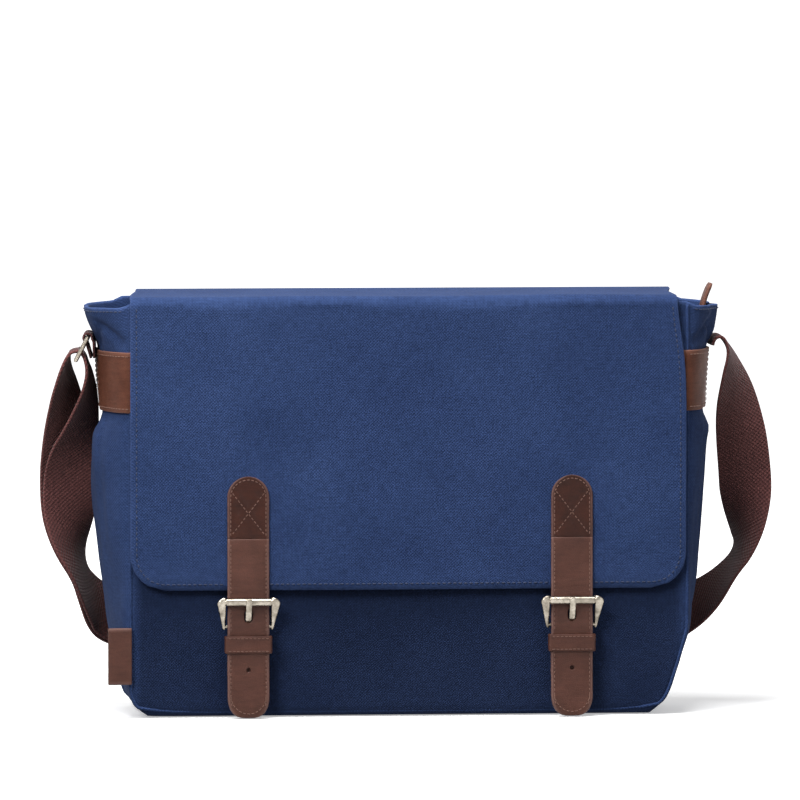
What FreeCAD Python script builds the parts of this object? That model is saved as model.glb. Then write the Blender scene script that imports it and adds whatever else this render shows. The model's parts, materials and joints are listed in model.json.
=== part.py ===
"""Canvas messenger bag with leather trim, closed and standing on its base.

Units are millimetres. X runs to the right, Y away from the front, Z up. The origin is the centre
of the base, on the surface that the bag stands on. Each function writes one or more separate
pieces, one STEP file per piece.
"""
import FreeCAD, Part
import math
import os

V = FreeCAD.Vector

# Bag body
BAG_W = 400.0                       # across the front panel's side seams
BAG_D = 110.0                       # front panel face to back panel face
PANEL_TOP = 297.0                   # top edge of the front and back panels
PANEL_T = 2.5                       # canvas with its backing
CORNER_R = 22.0                     # lower corners of the panels
BASE_T = 3.0
BOARD_X, BOARD_Y, BOARD_T = 165.0, 47.0, 2.5     # stiffener on the base: half sizes, thickness
GUSSET_T = 2.5
SEAM_GAP = 0.2
FRONT_Y = -BAG_D / 2
BACK_Y = BAG_D / 2

# Lining bag, set in from the panels' outline, with a pocket on its back wall
LINING_INSET = 6.4
LINING_HALF_Y = 51.8
LINING_TOP = 255.0
LINING_T = 1.2
POCKET_X = 125.0
POCKET_Z = (70.0, 215.0)
POCKET_Y = (49.0, 50.2)

# Gusset sections: height, side reach at the middle of the depth (each bulges like a bow)
GUSSET_EDGE_X = 199.5
GUSSET_LEVELS = ((28.0, 204.0), (70.0, 213.0), (130.0, 218.0), (200.0, 219.0),
                 (262.0, 220.0), (280.0, 222.0), (296.0, 227.0))

# Flap, hinged along the back top edge
FLAP_W = 397.0
FLAP_T = 2.1
FLAP_TOP = 302.0
FLAP_FACE_Y = -60.7
FLAP_BOTTOM = 92.0
FLAP_LINING_T = 1.0
FLAP_FOLD_R = 8.0
FLAP_CORNER_R = 25.0
HINGE_Y = 57.0
HEM_DROP = 30.0
HEM_T = 2.0

# Closing straps, one on each side of the flap
STRAP_X = 116.0
STRAP_W = 30.0
STRAP_T = 2.6
STRAP_BACK_Y = -60.9
PATCH_TOP = 173.5
PATCH_BOTTOM = 131.5
PATCH_T = 1.8
TAIL_TIP = 0.8
SLOT_W = 6.0
SLOT_BOTTOM, SLOT_TOP = 63.4, 78.4

# Roller buckle
ROLLER_Z = 84.0
ROLLER_R = 2.8
ROLLER_BAR_R = 1.7
ROLLER_LENGTH = 32.0
BAR_Z = 66.0
BAR_R = 1.5
FRAME_TOP_W = 45.0
FRAME_LOW_W = 36.0
ARM_LOW_W = 2.4
ARM_DEPTH, ARM_RISE = 2.4, 3.2      # half depth and half height of an arm at the roller
ARM_LOW_DEPTH, ARM_LOW_RISE = 1.7, 1.9           # the same at the hinge bar
PRONG_W = 4.6
PRONG_T = 1.8
FIT = 0.35                          # air between pieces that move past each other
KEEPER_Z = (47.0, 59.5)
KEEPER_T = 1.5
CHAPE_Z = (20.0, 61.0)
CHAPE_T = 2.0
SNAP_Z = 36.0
SNAP_R = 8.0
SNAP_GAP = 0.3                      # between the two halves of a closed snap
SOCKET_T = 1.8

# Leather bands over the gussets, and the label tab
BAND_Z = (219.6, 262.0)
BAND_T = 2.0
BAND_EDGE_X = 204.2
BAND_REACH = 224.6
BAND_HALF_Y = 50.0
TAB_X = (-216.0, -199.0)
TAB_Z = (24.6, 65.3)
TAB_Y = (-57.5, -55.1)

# Recessed zip
ZIP_Z = 262.0
ZIP_HALF = 190.0
ZIP_END = 194.0                     # ends of the tapes and of the canvas beside them
TOOTH_Y = (0.6, 2.8)
TAPE_Y = (3.0, 14.0)
ZIP_PANEL_Y = (12.0, 52.2)
SLIDER_X = 178.0
SLIDER_HALF = (6.0, 4.6)
SLIDER_T = 1.4
WEB_OF_SLIDER = 0.28                # half width of the web that joins the slider's two plates
ARCH_HALF = (4.6, 0.9)
ARCH_RISE = 5.6
ARCH_EYE = (3.2, 4.2)
PULL_Z = 265.9
PULL_LENGTH = 26.0
PULL_HALF_W = 3.5
PULL_ARM = (2.2, 9.0)               # inner face of an arm, reach of the arms from the pivot
PULL_T = 1.4
PIVOT_R = 0.8

# Centrelines of the zip's tail and of the leather tab that ends it
ZIP_TAIL = ((194.4, 0, 263.0), (205.0, 0, 268.0), (212.0, 0, 277.0), (215.5, 0, 286.0))
ZIP_TAB = ((215.6, 0, 286.4), (218.6, 0, 296.0), (222.8, 0, 307.5))

# Rectangular ring at the left end of the shoulder strap
RING_TOP = V(-226.3, 0, 270.6)
RING_LOW = V(-234.6, 0, 254.9)
RING_R = 1.6
RING_HALF_Y = 21.7
RING_ALONG = V(0.087, 0.996, 0)      # direction of the ring's two long bars

# Shoulder strap: webbing
WEB_W = 38.0
WEB_T = 2.0
GLIDE_Z = 46.2
GLIDE_X = -78.0                     # strap slider, behind the bag
GLIDE_Y = (60.4, 67.6)
GLIDE_HALF_X, GLIDE_HALF_Z = 15.0, 23.0
GLIDE_BAR = 2.5
GLIDE_SIDE = (3.0, 2.2)

# Route of the webbing's centreline with the direction of its width at each point
RIGHT_ROUTE = (
    ((222.2, 0, 263.0), (0, 1, 0)),
    ((222.8, 0, 268.0), (0, 1, 0)),
    ((229.5, 0, 270.0), (0, 1, 0)),
    ((236.4, 1, 259.0), (0.15, 0.98, 0)),
    ((239.8, 2, 238.0), (0.60, 0.80, 0)),
    ((241.0, 5, 218.0), (0.86, 0.50, 0)),
    ((243.2, 9, 191.0), (1, 0.10, 0)),
    ((245.0, 14, 164.0), (1, -0.05, 0)),
    ((246.2, 19, 143.0), (0.82, -0.57, 0)),
    ((244.0, 27, 121.0), (0.48, -0.88, 0)),
    ((240.0, 36, 103.0), (0.17, -0.97, -0.14)),
    ((229.0, 50, 82.5), (0.31, -0.88, -0.35)),
    ((212.0, 60, 66.5), (0.42, -0.62, -0.66)),
    ((190.0, 64, 58.5), (0, 0, -1)),
    ((160.0, 64, 54.0), (0, 0, -1)),
    ((110.0, 64, 48.0), (0, 0, -1)),
    ((38.0, 64, 44.5), (0, 0, -1)),
)
LEFT_ROUTE = (
    ((-38.0, 64, 44.5), (0, 0, -1)),
    ((-110.0, 64, 47.0), (0, 0, -1)),
    ((-160.0, 64, 54.0), (0, 0, -1)),
    ((-190.0, 64, 60.0), (0, 0, -1)),
    ((-208.5, 62, 67.0), (-0.11, -0.10, -0.98)),
    ((-219.0, 54, 76.5), (-0.21, -0.60, -0.77)),
    ((-226.8, 42, 88.0), (-0.24, -0.86, -0.45)),
    ((-232.5, 32, 103.0), (-0.46, -0.88, -0.10)),
    ((-237.5, 25, 123.0), (-0.75, -0.66, 0)),
    ((-239.3, 20, 146.0), (-0.99, -0.12, 0)),
    ((-239.0, 17, 166.0), (-1, -0.05, 0)),
    ((-237.3, 14, 184.0), (-0.92, -0.38, 0)),
    ((-234.6, 10, 203.0), (-0.70, -0.71, 0)),
    ((-232.6, 5, 226.0), (-0.40, -0.92, 0)),
    ((-231.0, 1, 243.0), (-0.16, -0.99, 0)),
    ((-230.4, 0, 251.0), (-0.087, -0.996, 0)),
    ((-231.6, 0, 258.0), (-0.087, -0.996, 0)),
)
RETURN_ROUTE = (
    ((-236.6, 0, 258.8), (-0.087, -0.996, 0)),
    ((-241.0, 0, 257.6), (-0.087, -0.996, 0)),
    ((-243.4, 1.5, 247.0), (-0.25, -0.97, 0)),
    ((-243.2, 5, 233.0), (-0.52, -0.85, 0)),
    ((-242.0, 10, 216.0), (-0.74, -0.67, 0)),
    ((-241.6, 15, 196.0), (-0.90, -0.43, 0)),
    ((-241.4, 21, 168.0), (-1, -0.05, 0)),
    ((-240.6, 25, 146.0), (-0.99, -0.12, 0)),
    ((-239.2, 30, 122.0), (-0.75, -0.66, 0)),
    ((-235.2, 37, 101.0), (-0.46, -0.88, -0.10)),
    ((-229.8, 47, 85.0), (-0.24, -0.86, -0.45)),
    ((-220.5, 59, 73.0), (-0.21, -0.60, -0.77)),
    ((-208.0, 67, 64.0), (-0.11, -0.10, -0.98)),
    ((-190.0, 68.9, 58.0), (0, 0, -1)),
    ((-160.0, 68.9, 53.0), (0, 0, -1)),
    ((-118.0, 68.9, 48.8), (0, 0, -1)),
    ((-80.0, 68.9, 47.1), (0, 0, -1)),
)


def save(name, shape):
    """Write one piece."""
    if not shape.isValid():
        print("NOT VALID:", name)
    shape.exportStep("parts/%s.step" % name)


def box(x, y, z):
    """Block between three pairs of limits."""
    return Part.makeBox(x[1] - x[0], y[1] - y[0], z[1] - z[0], V(x[0], y[0], z[0]))


def rounded_face(corners, radii):
    """Flat face through the corners, each rounded by its own radius (0 leaves it sharp)."""
    count = len(corners)
    stops, edges = [], []
    for i, corner in enumerate(corners):
        before = (corners[i - 1] - corner).normalize()
        after = (corners[(i + 1) % count] - corner).normalize()
        if radii[i] == 0:
            stops.append((corner, corner, corner))
            continue
        half = before.getAngle(after) / 2
        inward = (before + after).normalize()
        centre = corner + inward * (radii[i] / math.sin(half))
        reach = radii[i] / math.tan(half)
        stops.append((corner + before * reach, centre - inward * radii[i], corner + after * reach))
    for i, (start, middle, end) in enumerate(stops):
        if start != end:
            edges.append(Part.Arc(start, middle, end).toShape())
        following = stops[(i + 1) % count][0]
        if (following - end).Length > 1e-6:
            edges.append(Part.makeLine(end, following))
    return Part.Face(Part.Wire(edges))


def slab(corners, radii, depth):
    """Outline given in X and Z, extruded in Y over the two limits of depth."""
    points = [V(x, depth[0], z) for x, z in corners]
    return rounded_face(points, radii).extrude(V(0, depth[1] - depth[0], 0))


def channel(corners, radii, width):
    """Outline given in Y and Z, extruded in X over the two limits of width."""
    points = [V(width[0], y, z) for y, z in corners]
    return rounded_face(points, radii).extrude(V(width[1] - width[0], 0, 0))


def bar(start, end, radius):
    """Round bar between two points."""
    return Part.makeCylinder(radius, (end - start).Length, start, end - start)


def along_x(radius, centre_y, centre_z, x):
    """Round bar along X over the two limits of x."""
    return bar(V(x[0], centre_y, centre_z), V(x[1], centre_y, centre_z), radius)


# ---------------------------------------------------------------- bag body

def panel(top, depth, inset=0.0):
    """Front or back panel, or a layer set in from its outline, with rounded lower corners."""
    half = BAG_W / 2 - inset
    corner = CORNER_R - inset
    corners = ((-half, inset), (half, inset), (half, top), (-half, top))
    return slab(corners, (corner, corner, 0, 0), depth)


def bow(edge_x, middle_x, half_y, z, side, thick):
    """Closed curved section of a gusset or band at one height."""
    outer = (V(side * edge_x, -half_y, z), V(side * middle_x, 0, z), V(side * edge_x, half_y, z))
    inner = (V(side * (edge_x - thick), -half_y, z), V(side * (middle_x - thick), 0, z),
             V(side * (edge_x - thick), half_y, z))
    return Part.Wire([Part.Arc(*outer).toShape(), Part.makeLine(outer[2], inner[2]),
                      Part.Arc(*reversed(inner)).toShape(), Part.makeLine(inner[0], outer[0])])


def make_body():
    half_y = BAG_D / 2 - PANEL_T - SEAM_GAP
    save("front_panel", panel(PANEL_TOP, (FRONT_Y, FRONT_Y + PANEL_T)))
    save("back_panel", panel(PANEL_TOP, (BACK_Y - PANEL_T, BACK_Y)))
    for name, side in (("left_gusset", -1), ("right_gusset", 1)):
        sections = [bow(GUSSET_EDGE_X, reach, half_y, z, side, GUSSET_T)
                    for z, reach in GUSSET_LEVELS]
        save(name, Part.makeLoft(sections, True, True))
    low = GUSSET_LEVELS[0][0] - SEAM_GAP
    hollow = panel(low + 1, (-half_y - 1, half_y + 1), BASE_T)
    save("base_panel", panel(low, (-half_y, half_y)).cut(hollow))
    save("base_board", box((-BOARD_X, BOARD_X), (-BOARD_Y, BOARD_Y),
                           (BASE_T + 0.1, BASE_T + 0.1 + BOARD_T)))


def make_lining():
    """Lining bag, open at the top and rounded at its lower corners, and the flat pocket."""
    inside = LINING_HALF_Y - LINING_T
    outer = panel(LINING_TOP, (-LINING_HALF_Y, LINING_HALF_Y), LINING_INSET)
    hollow = panel(LINING_TOP + 1, (-inside, inside), LINING_INSET + LINING_T)
    save("lining", outer.cut(hollow))
    save("inner_pocket", box((-POCKET_X, POCKET_X), POCKET_Y, POCKET_Z))


# ---------------------------------------------------------------- flap

def flap_layer(top, thick, face_y, bottom, fold_r, corner_r, half_w):
    """One cloth of the flap: over the top, round the front fold and down the front."""
    corners = ((HINGE_Y, top - thick), (HINGE_Y, top), (face_y, top), (face_y, bottom),
               (face_y + thick, bottom), (face_y + thick, top - thick))
    sheet = channel(corners, (0, 0, fold_r, 0, 0, fold_r - thick), (-half_w, half_w))
    for side in (-1, 1):
        edge = side * half_w
        centre = edge - side * corner_r
        waste = box(sorted((centre, edge + side)), (face_y - 1, face_y + thick + 1),
                    (bottom - 1, bottom + corner_r))
        disc = bar(V(centre, face_y - 2, bottom + corner_r),
                   V(centre, face_y + thick + 2, bottom + corner_r), corner_r)
        sheet = sheet.cut(waste.cut(disc))
    return sheet


def make_flap():
    save("flap_outer", flap_layer(FLAP_TOP, FLAP_T, FLAP_FACE_Y, FLAP_BOTTOM, FLAP_FOLD_R,
                                  FLAP_CORNER_R, FLAP_W / 2))
    inside = FLAP_T + 0.1
    save("flap_lining", flap_layer(FLAP_TOP - inside, FLAP_LINING_T, FLAP_FACE_Y + inside,
                                   FLAP_BOTTOM + 4, FLAP_FOLD_R - inside, FLAP_CORNER_R - 4,
                                   FLAP_W / 2 - 4))
    save("flap_rear_hem", box((-FLAP_W / 2, FLAP_W / 2), (BACK_Y + 0.1, BACK_Y + 0.1 + HEM_T),
                              (PANEL_TOP + 1 - HEM_DROP, PANEL_TOP + 1)))


# ---------------------------------------------------------------- straps and buckles

def make_strap(name, x):
    """Closing strap with its round-ended patch, and the slot that the prong passes through."""
    half = STRAP_W / 2
    face = STRAP_BACK_Y - STRAP_T
    corners = ((x - half, TAIL_TIP), (x + half, TAIL_TIP), (x + half, PATCH_BOTTOM - 0.2),
               (x - half, PATCH_BOTTOM - 0.2))
    strap = slab(corners, (9, 9, 0, 0), (face, STRAP_BACK_Y))
    slot = box((x - SLOT_W / 2, x + SLOT_W / 2), (face - 1, STRAP_BACK_Y + 1),
               (SLOT_BOTTOM, SLOT_TOP))
    save(name + "_flap_strap", strap.cut(slot))
    corners = ((x - half, PATCH_BOTTOM), (x + half, PATCH_BOTTOM), (x + half, PATCH_TOP),
               (x - half, PATCH_TOP))
    round_end = half - 0.01
    save(name + "_strap_patch", slab(corners, (0, 0, round_end, round_end),
                                     (STRAP_BACK_Y - PATCH_T, STRAP_BACK_Y)))


def buckle_points():
    """Centres of the roller bar (in front of the strap) and the hinge bar (behind it), as Y."""
    roller_y = STRAP_BACK_Y - STRAP_T - FIT - ROLLER_R
    hinge_y = STRAP_BACK_Y + FIT + BAR_R
    return roller_y, hinge_y


def make_buckle(name, x):
    """Roller buckle: tilted frame, roller on its front bar, prong round its rear bar."""
    roller_y, hinge_y = buckle_points()
    top, low = FRAME_TOP_W / 2, FRAME_LOW_W / 2
    frame = along_x(ROLLER_BAR_R, roller_y, ROLLER_Z, (x - top + 2, x + top - 2))
    frame = frame.fuse(along_x(BAR_R, hinge_y, BAR_Z, (x - low + 1, x + low - 1)))
    rear, front = hinge_y + ARM_LOW_DEPTH, roller_y - ARM_DEPTH
    side_view = ((front, ROLLER_Z + ARM_RISE), (roller_y + ARM_DEPTH, ROLLER_Z + ARM_RISE),
                 (rear, BAR_Z + 1.0), (rear, BAR_Z - ARM_LOW_RISE),
                 (hinge_y - ARM_LOW_DEPTH, BAR_Z - ARM_LOW_RISE), (front, ROLLER_Z - ARM_RISE))
    for side in (-1, 1):
        inner_top = x + side * (ROLLER_LENGTH / 2 + 0.3)
        inner_low = x + side * (low - ARM_LOW_W)
        outline = [V(inner_top, -80, ROLLER_Z + 6), V(x + side * top, -80, ROLLER_Z + 6),
                   V(x + side * top, -80, ROLLER_Z - 2), V(x + side * low, -80, BAR_Z),
                   V(x + side * low, -80, BAR_Z - 6), V(inner_low, -80, BAR_Z - 6),
                   V(inner_low, -80, BAR_Z + 8), V(inner_top, -80, ROLLER_Z - 5)]
        front_view = rounded_face(outline, [0, 0, 6, 4, 0, 0, 0, 0]).extrude(V(0, 40, 0))
        arm = channel(side_view, (2.2, 2.2, 1.2, 1.2, 1.2, 2.2), (x - top - 1, x + top + 1))
        frame = frame.fuse(arm.common(front_view))
    save(name + "_buckle_frame", frame.removeSplitter())
    half = ROLLER_LENGTH / 2
    sleeve = along_x(ROLLER_R, roller_y, ROLLER_Z, (x - half, x + half))
    bore = along_x(ROLLER_BAR_R + 0.08, roller_y, ROLLER_Z, (x - half - 1, x + half + 1))
    save(name + "_roller", sleeve.cut(bore))
    save(name + "_prong", prong(x, roller_y, hinge_y))


def prong(x, roller_y, hinge_y):
    """Flat bar: an eye round the hinge bar, out through the strap's slot, over the roller."""
    width = (x - PRONG_W / 2, x + PRONG_W / 2)
    tip_y = roller_y - ROLLER_R - 0.3
    corners = ((hinge_y - 0.4, BAR_Z + 1.2), (hinge_y - 2.4, BAR_Z + 1.2),
               (tip_y - PRONG_T, ROLLER_Z - 1.5), (tip_y - PRONG_T, ROLLER_Z + 3.2),
               (tip_y, ROLLER_Z + 3.2), (tip_y, ROLLER_Z - 3.4))
    blade = channel(corners, (0, 0, 2.0, 0.8, 0.8, 1.0), width)
    eye = along_x(BAR_R + 0.06 + 1.0, hinge_y, BAR_Z, width)
    hole = along_x(BAR_R + 0.06, hinge_y, BAR_Z, (width[0] - 1, width[1] + 1))
    return blade.fuse(eye).cut(hole).removeSplitter()


def make_holders(name, x):
    """Keeper loop, chape behind the strap, and the two halves of the magnetic snap."""
    half = STRAP_W / 2
    front = STRAP_BACK_Y - STRAP_T - 0.4
    rear = STRAP_BACK_Y + 0.2 + CHAPE_T + 0.3
    hole_x = half + 0.5
    ring = box((x - hole_x - KEEPER_T, x + hole_x + KEEPER_T), (front - KEEPER_T, rear + 1.0),
               KEEPER_Z)
    hole = box((x - hole_x, x + hole_x), (front, rear), (KEEPER_Z[0] - 1, KEEPER_Z[1] + 1))
    save(name + "_keeper", ring.cut(hole))
    chape_y = (STRAP_BACK_Y + 0.2, STRAP_BACK_Y + 0.2 + CHAPE_T)
    corners = ((x - half, CHAPE_Z[0]), (x + half, CHAPE_Z[0]), (x + half, CHAPE_Z[1] - 2),
               (x - half, CHAPE_Z[1] - 2))
    save(name + "_chape", slab(corners, (12, 12, 2, 2), chape_y))
    socket_y = FRONT_Y - SOCKET_T
    save(name + "_snap_stud", bar(V(x, chape_y[1], SNAP_Z), V(x, socket_y - SNAP_GAP, SNAP_Z),
                                  SNAP_R))
    save(name + "_snap_socket", bar(V(x, socket_y, SNAP_Z), V(x, FRONT_Y, SNAP_Z), SNAP_R))


# ---------------------------------------------------------------- leather trim

def make_trim():
    for name, side in (("left_side_band", -1), ("right_side_band", 1)):
        sections = [bow(BAND_EDGE_X, BAND_REACH, BAND_HALF_Y, z, side, BAND_T) for z in BAND_Z]
        save(name, Part.makeLoft(sections, True, True))
    corners = ((TAB_X[0], TAB_Z[0]), (TAB_X[1], TAB_Z[0]), (TAB_X[1], TAB_Z[1]),
               (TAB_X[0], TAB_Z[1]))
    save("label_tab", slab(corners, (1.5, 0, 0, 1.5), TAB_Y))


# ---------------------------------------------------------------- zip

def make_zip():
    for name, side in (("front", -1), ("back", 1)):
        def span(limits):
            return sorted(side * y for y in limits)
        ends = (-ZIP_END, ZIP_END)
        save("zip_panel_" + name, box(ends, span(ZIP_PANEL_Y), (ZIP_Z, ZIP_Z + 1.2)))
        save("zip_tape_" + name, box(ends, span(TAPE_Y), (ZIP_Z - 1.0, ZIP_Z - 0.2)))
        save("zip_teeth_" + name, box((-ZIP_HALF, ZIP_HALF), span(TOOTH_Y),
                                      (ZIP_Z - 1.8, ZIP_Z + 0.6)))
    stops = [box(sorted((s * (ZIP_HALF + 0.3), s * (ZIP_HALF + 3))),
                 (-TOOTH_Y[1], TOOTH_Y[1]), (ZIP_Z - 1.8, ZIP_Z + 0.6)) for s in (-1, 1)]
    save("zip_stops", Part.makeCompound(stops))
    make_slider()
    for name, route, width, thick in (("zip_tail", ZIP_TAIL, 22, 1.0),
                                      ("zip_end_tab", ZIP_TAB, 16, 3.0)):
        save(name, ribbon([V(*place) for place in route], [V(0, 1, 0)] * len(route), width, thick))


def make_slider():
    """Slider with its arch, and the pull whose cross bar turns under the arch."""
    top, low = ZIP_Z + 1.0, ZIP_Z - 2.2
    x = (SLIDER_X - SLIDER_HALF[0], SLIDER_X + SLIDER_HALF[0])
    y = (-SLIDER_HALF[1], SLIDER_HALF[1])
    slider = box(x, y, (top, top + SLIDER_T)).fuse(box(x, y, (low - SLIDER_T, low)))
    slider = slider.fuse(box(x, (-WEB_OF_SLIDER, WEB_OF_SLIDER), (low - 0.5, top + 0.5)))
    arch = box((SLIDER_X - ARCH_HALF[0], SLIDER_X + ARCH_HALF[0]), (-ARCH_HALF[1], ARCH_HALF[1]),
               (top + SLIDER_T - 0.2, top + ARCH_RISE))
    eye = box((SLIDER_X - ARCH_EYE[0], SLIDER_X + ARCH_EYE[0]), y,
              (top + SLIDER_T, top + ARCH_EYE[1]))
    save("zip_slider", slider.fuse(arch.cut(eye)).removeSplitter())
    pull = bar(V(SLIDER_X, -PULL_HALF_W, PULL_Z), V(SLIDER_X, PULL_HALF_W, PULL_Z), PIVOT_R)
    low, high = PULL_Z - PULL_T / 2, PULL_Z + PULL_T / 2
    for side in (-1, 1):
        arm_y = sorted((side * PULL_ARM[0], side * PULL_HALF_W))
        pull = pull.fuse(box((SLIDER_X - PULL_ARM[1], SLIDER_X), arm_y, (low, high)))
    near, far = SLIDER_X - PULL_ARM[1] + 2.5, SLIDER_X - PULL_LENGTH
    outline = [V(near, -PULL_HALF_W, low), V(far, -PULL_HALF_W, low),
               V(far, PULL_HALF_W, low), V(near, PULL_HALF_W, low)]
    pull = pull.fuse(rounded_face(outline, [0, 3, 3, 0]).extrude(V(0, 0, PULL_T)))
    save("zip_pull", pull.removeSplitter())


# ---------------------------------------------------------------- shoulder strap

def bend(route, arc_steps=4):
    """Centres and width directions along straight runs joined by the largest arcs that fit."""
    points = [V(*place) for place, across in route]
    widths = [V(*across) for place, across in route]
    spots, turned, radii = [points[0]], [widths[0]], []
    for i in range(1, len(points) - 1):
        before, after = points[i - 1] - points[i], points[i + 1] - points[i]
        reach = 0.45 * min(before.Length, after.Length)
        before.normalize()
        after.normalize()
        half = before.getAngle(after) / 2
        radius = reach * math.tan(half)
        radii.append(radius)
        centre = points[i] + (before + after).normalize() * (radius / math.sin(half))
        first = points[i] + before * reach - centre
        ahead = before * -radius
        for k in range(arc_steps + 1):
            angle = (math.pi - 2 * half) * k / arc_steps
            spots.append(centre + first * math.cos(angle) + ahead * math.sin(angle))
            along = 0.9 * k / arc_steps - 0.45
            other = widths[i - 1] if along < 0 else widths[i + 1]
            turned.append(widths[i] * (1 - abs(along)) + other * abs(along))
    spots.append(points[-1])
    turned.append(widths[-1])
    return spots, turned, radii


def ribbon(points, widths, width, thick):
    """Flat band through the points, as a closed solid of flat triangles."""
    rings = []
    for i, point in enumerate(points):
        ahead = points[min(i + 1, len(points) - 1)] - points[max(i - 1, 0)]
        ahead.normalize()
        across = widths[i] - ahead * widths[i].dot(ahead)
        across.normalize()
        normal = ahead.cross(across).normalize() * (thick / 2)
        across = across * (width / 2)
        rings.append((point - across - normal, point + across - normal,
                      point + across + normal, point - across + normal))
    triangles = [(rings[0][0], rings[0][1], rings[0][2]), (rings[0][0], rings[0][2], rings[0][3])]
    triangles += [(rings[-1][0], rings[-1][2], rings[-1][1]),
                  (rings[-1][0], rings[-1][3], rings[-1][2])]
    for ring, following in zip(rings, rings[1:]):
        for k in range(4):
            m = (k + 1) % 4
            triangles.append((ring[k], following[k], following[m]))
            triangles.append((ring[k], following[m], ring[m]))
    faces = [Part.Face(Part.makePolygon(list(t) + [t[0]])) for t in triangles]
    solid = Part.Solid(Part.Shell(faces))
    if solid.Volume < 0:
        solid.reverse()
    return solid


def make_webbing():
    lengths = []
    for name, route in (("shoulder_strap", RIGHT_ROUTE + LEFT_ROUTE),
                        ("strap_return", RETURN_ROUTE)):
        spots, turned, radii = bend(route)
        band = ribbon(spots, turned, WEB_W, WEB_T)
        save(name, band)
        length = sum((b - a).Length for a, b in zip(spots, spots[1:]))
        lengths.append(length)
        print(name, "length %.0f, volume / (section x length) %.3f, bend radii"
              % (length, band.Volume / (WEB_W * WEB_T * length)),
              " ".join("%.0f" % radius for radius in radii))
    make_ring()
    make_glide()


def make_ring():
    """Rectangular ring, and the short webbing loop that holds it to the side band."""
    across = RING_ALONG * RING_HALF_Y
    corners = [RING_TOP - across, RING_TOP + across, RING_LOW + across, RING_LOW - across]
    ring = bar(corners[3], corners[0], RING_R).fuse(Part.makeSphere(RING_R, corners[0]))
    for start, end in zip(corners, corners[1:]):
        ring = ring.fuse(bar(start, end, RING_R)).fuse(Part.makeSphere(RING_R, end))
    save("strap_ring", ring.removeSplitter())
    half = WEB_W / 2
    x, z = RING_TOP.x, RING_TOP.z
    outline = [V(x + 1.8, -half, BAND_Z[1] + 0.6), V(x + 5.0, -half, BAND_Z[1] + 0.6),
               V(x + 4.0, -half, z + 3.9), V(x - 3.9, -half, z + 3.9), V(x - 3.9, -half, z - 2.4)]
    loop = rounded_face(outline, [0, 0, 3.4, 3.6, 1.5]).extrude(V(0, WEB_W, 0))
    hole = bar(RING_TOP - RING_ALONG * WEB_W, RING_TOP + RING_ALONG * WEB_W, RING_R + 0.3)
    save("ring_loop", loop.cut(hole))


def make_glide():
    """Bowed strap slider: outer bars inside the webbing, centre bar outside it."""
    inner, outer = GLIDE_Y
    x = (GLIDE_X - GLIDE_HALF_X, GLIDE_X + GLIDE_HALF_X)
    low, high = GLIDE_Z - GLIDE_HALF_Z, GLIDE_Z + GLIDE_HALF_Z
    middle = (low + 2, high - 2)
    glide = box(x, GLIDE_Y, (high - GLIDE_BAR, high)).fuse(box(x, GLIDE_Y, (low, low + GLIDE_BAR)))
    width, thick = GLIDE_SIDE
    for left in (x[0], x[1] - width):
        glide = glide.fuse(box((left, left + width), (inner, inner + thick), middle))
    glide = glide.fuse(box((GLIDE_X - width / 2, GLIDE_X + width / 2), (outer - 2.0, outer),
                           middle))
    save("strap_slider", glide.removeSplitter())


def main():
    os.makedirs("parts", exist_ok=True)
    make_body()
    make_lining()
    make_flap()
    for name, x in (("left", -STRAP_X), ("right", STRAP_X)):
        make_strap(name, x)
        make_buckle(name, x)
        make_holders(name, x)
    make_trim()
    make_zip()
    make_webbing()


main()
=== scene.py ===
"""Canvas messenger bag: its cloth, leather, webbing and metal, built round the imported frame."""
import bmesh
import bpy
import json
import math
from functools import lru_cache
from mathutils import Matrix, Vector, noise


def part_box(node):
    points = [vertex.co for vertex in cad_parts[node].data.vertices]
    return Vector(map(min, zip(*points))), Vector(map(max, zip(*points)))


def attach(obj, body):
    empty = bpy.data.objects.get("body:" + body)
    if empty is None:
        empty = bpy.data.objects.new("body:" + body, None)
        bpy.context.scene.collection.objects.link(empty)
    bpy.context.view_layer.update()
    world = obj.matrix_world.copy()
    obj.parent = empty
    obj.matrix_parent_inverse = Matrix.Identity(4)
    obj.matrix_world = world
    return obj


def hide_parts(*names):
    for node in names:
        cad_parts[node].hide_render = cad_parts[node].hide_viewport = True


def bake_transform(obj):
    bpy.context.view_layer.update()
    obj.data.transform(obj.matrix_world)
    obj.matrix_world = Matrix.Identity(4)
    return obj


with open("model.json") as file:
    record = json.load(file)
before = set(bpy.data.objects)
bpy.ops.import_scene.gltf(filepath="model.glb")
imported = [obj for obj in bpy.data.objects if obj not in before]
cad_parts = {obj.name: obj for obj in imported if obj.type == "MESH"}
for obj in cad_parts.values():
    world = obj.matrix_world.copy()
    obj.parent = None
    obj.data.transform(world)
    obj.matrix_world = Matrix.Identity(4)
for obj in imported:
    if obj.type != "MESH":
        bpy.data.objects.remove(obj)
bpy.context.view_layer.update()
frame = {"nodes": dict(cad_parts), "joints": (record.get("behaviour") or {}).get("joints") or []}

MM = 0.001
SIDES = (("left", -1), ("right", 1))

# Places read from the frame
PANEL_LOW, PANEL_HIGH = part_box("front_panel")
FLAP_LOW, FLAP_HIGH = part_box("flap_outer")
HEM_LOW, HEM_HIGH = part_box("flap_rear_hem")
BAND_LOW, BAND_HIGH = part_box("right_side_band")
HALF_W = PANEL_HIGH.x
HALF_D = -PANEL_LOW.y
PANEL_TOP = PANEL_HIGH.z
CLOTH_T = 2.5 * MM
BAND_MIDDLE_Z = 240 * MM        # where the bands draw the gussets in
BAND_FOOT_Z = 203 * MM          # the gussets swell just below the bands
EAR_FOOT_Z = 264 * MM           # the gussets flare into ears above this

RIGHT, UP = Vector((1, 0, 0)), Vector((0, 0, 1))
FRONT, BACK = Vector((0, -1, 0)), Vector((0, 1, 0))


def joint_place(name):
    """Where a joint's axis passes."""
    return Vector(next(j for j in frame["joints"] if j["name"] == name)["pos_m"])


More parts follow.
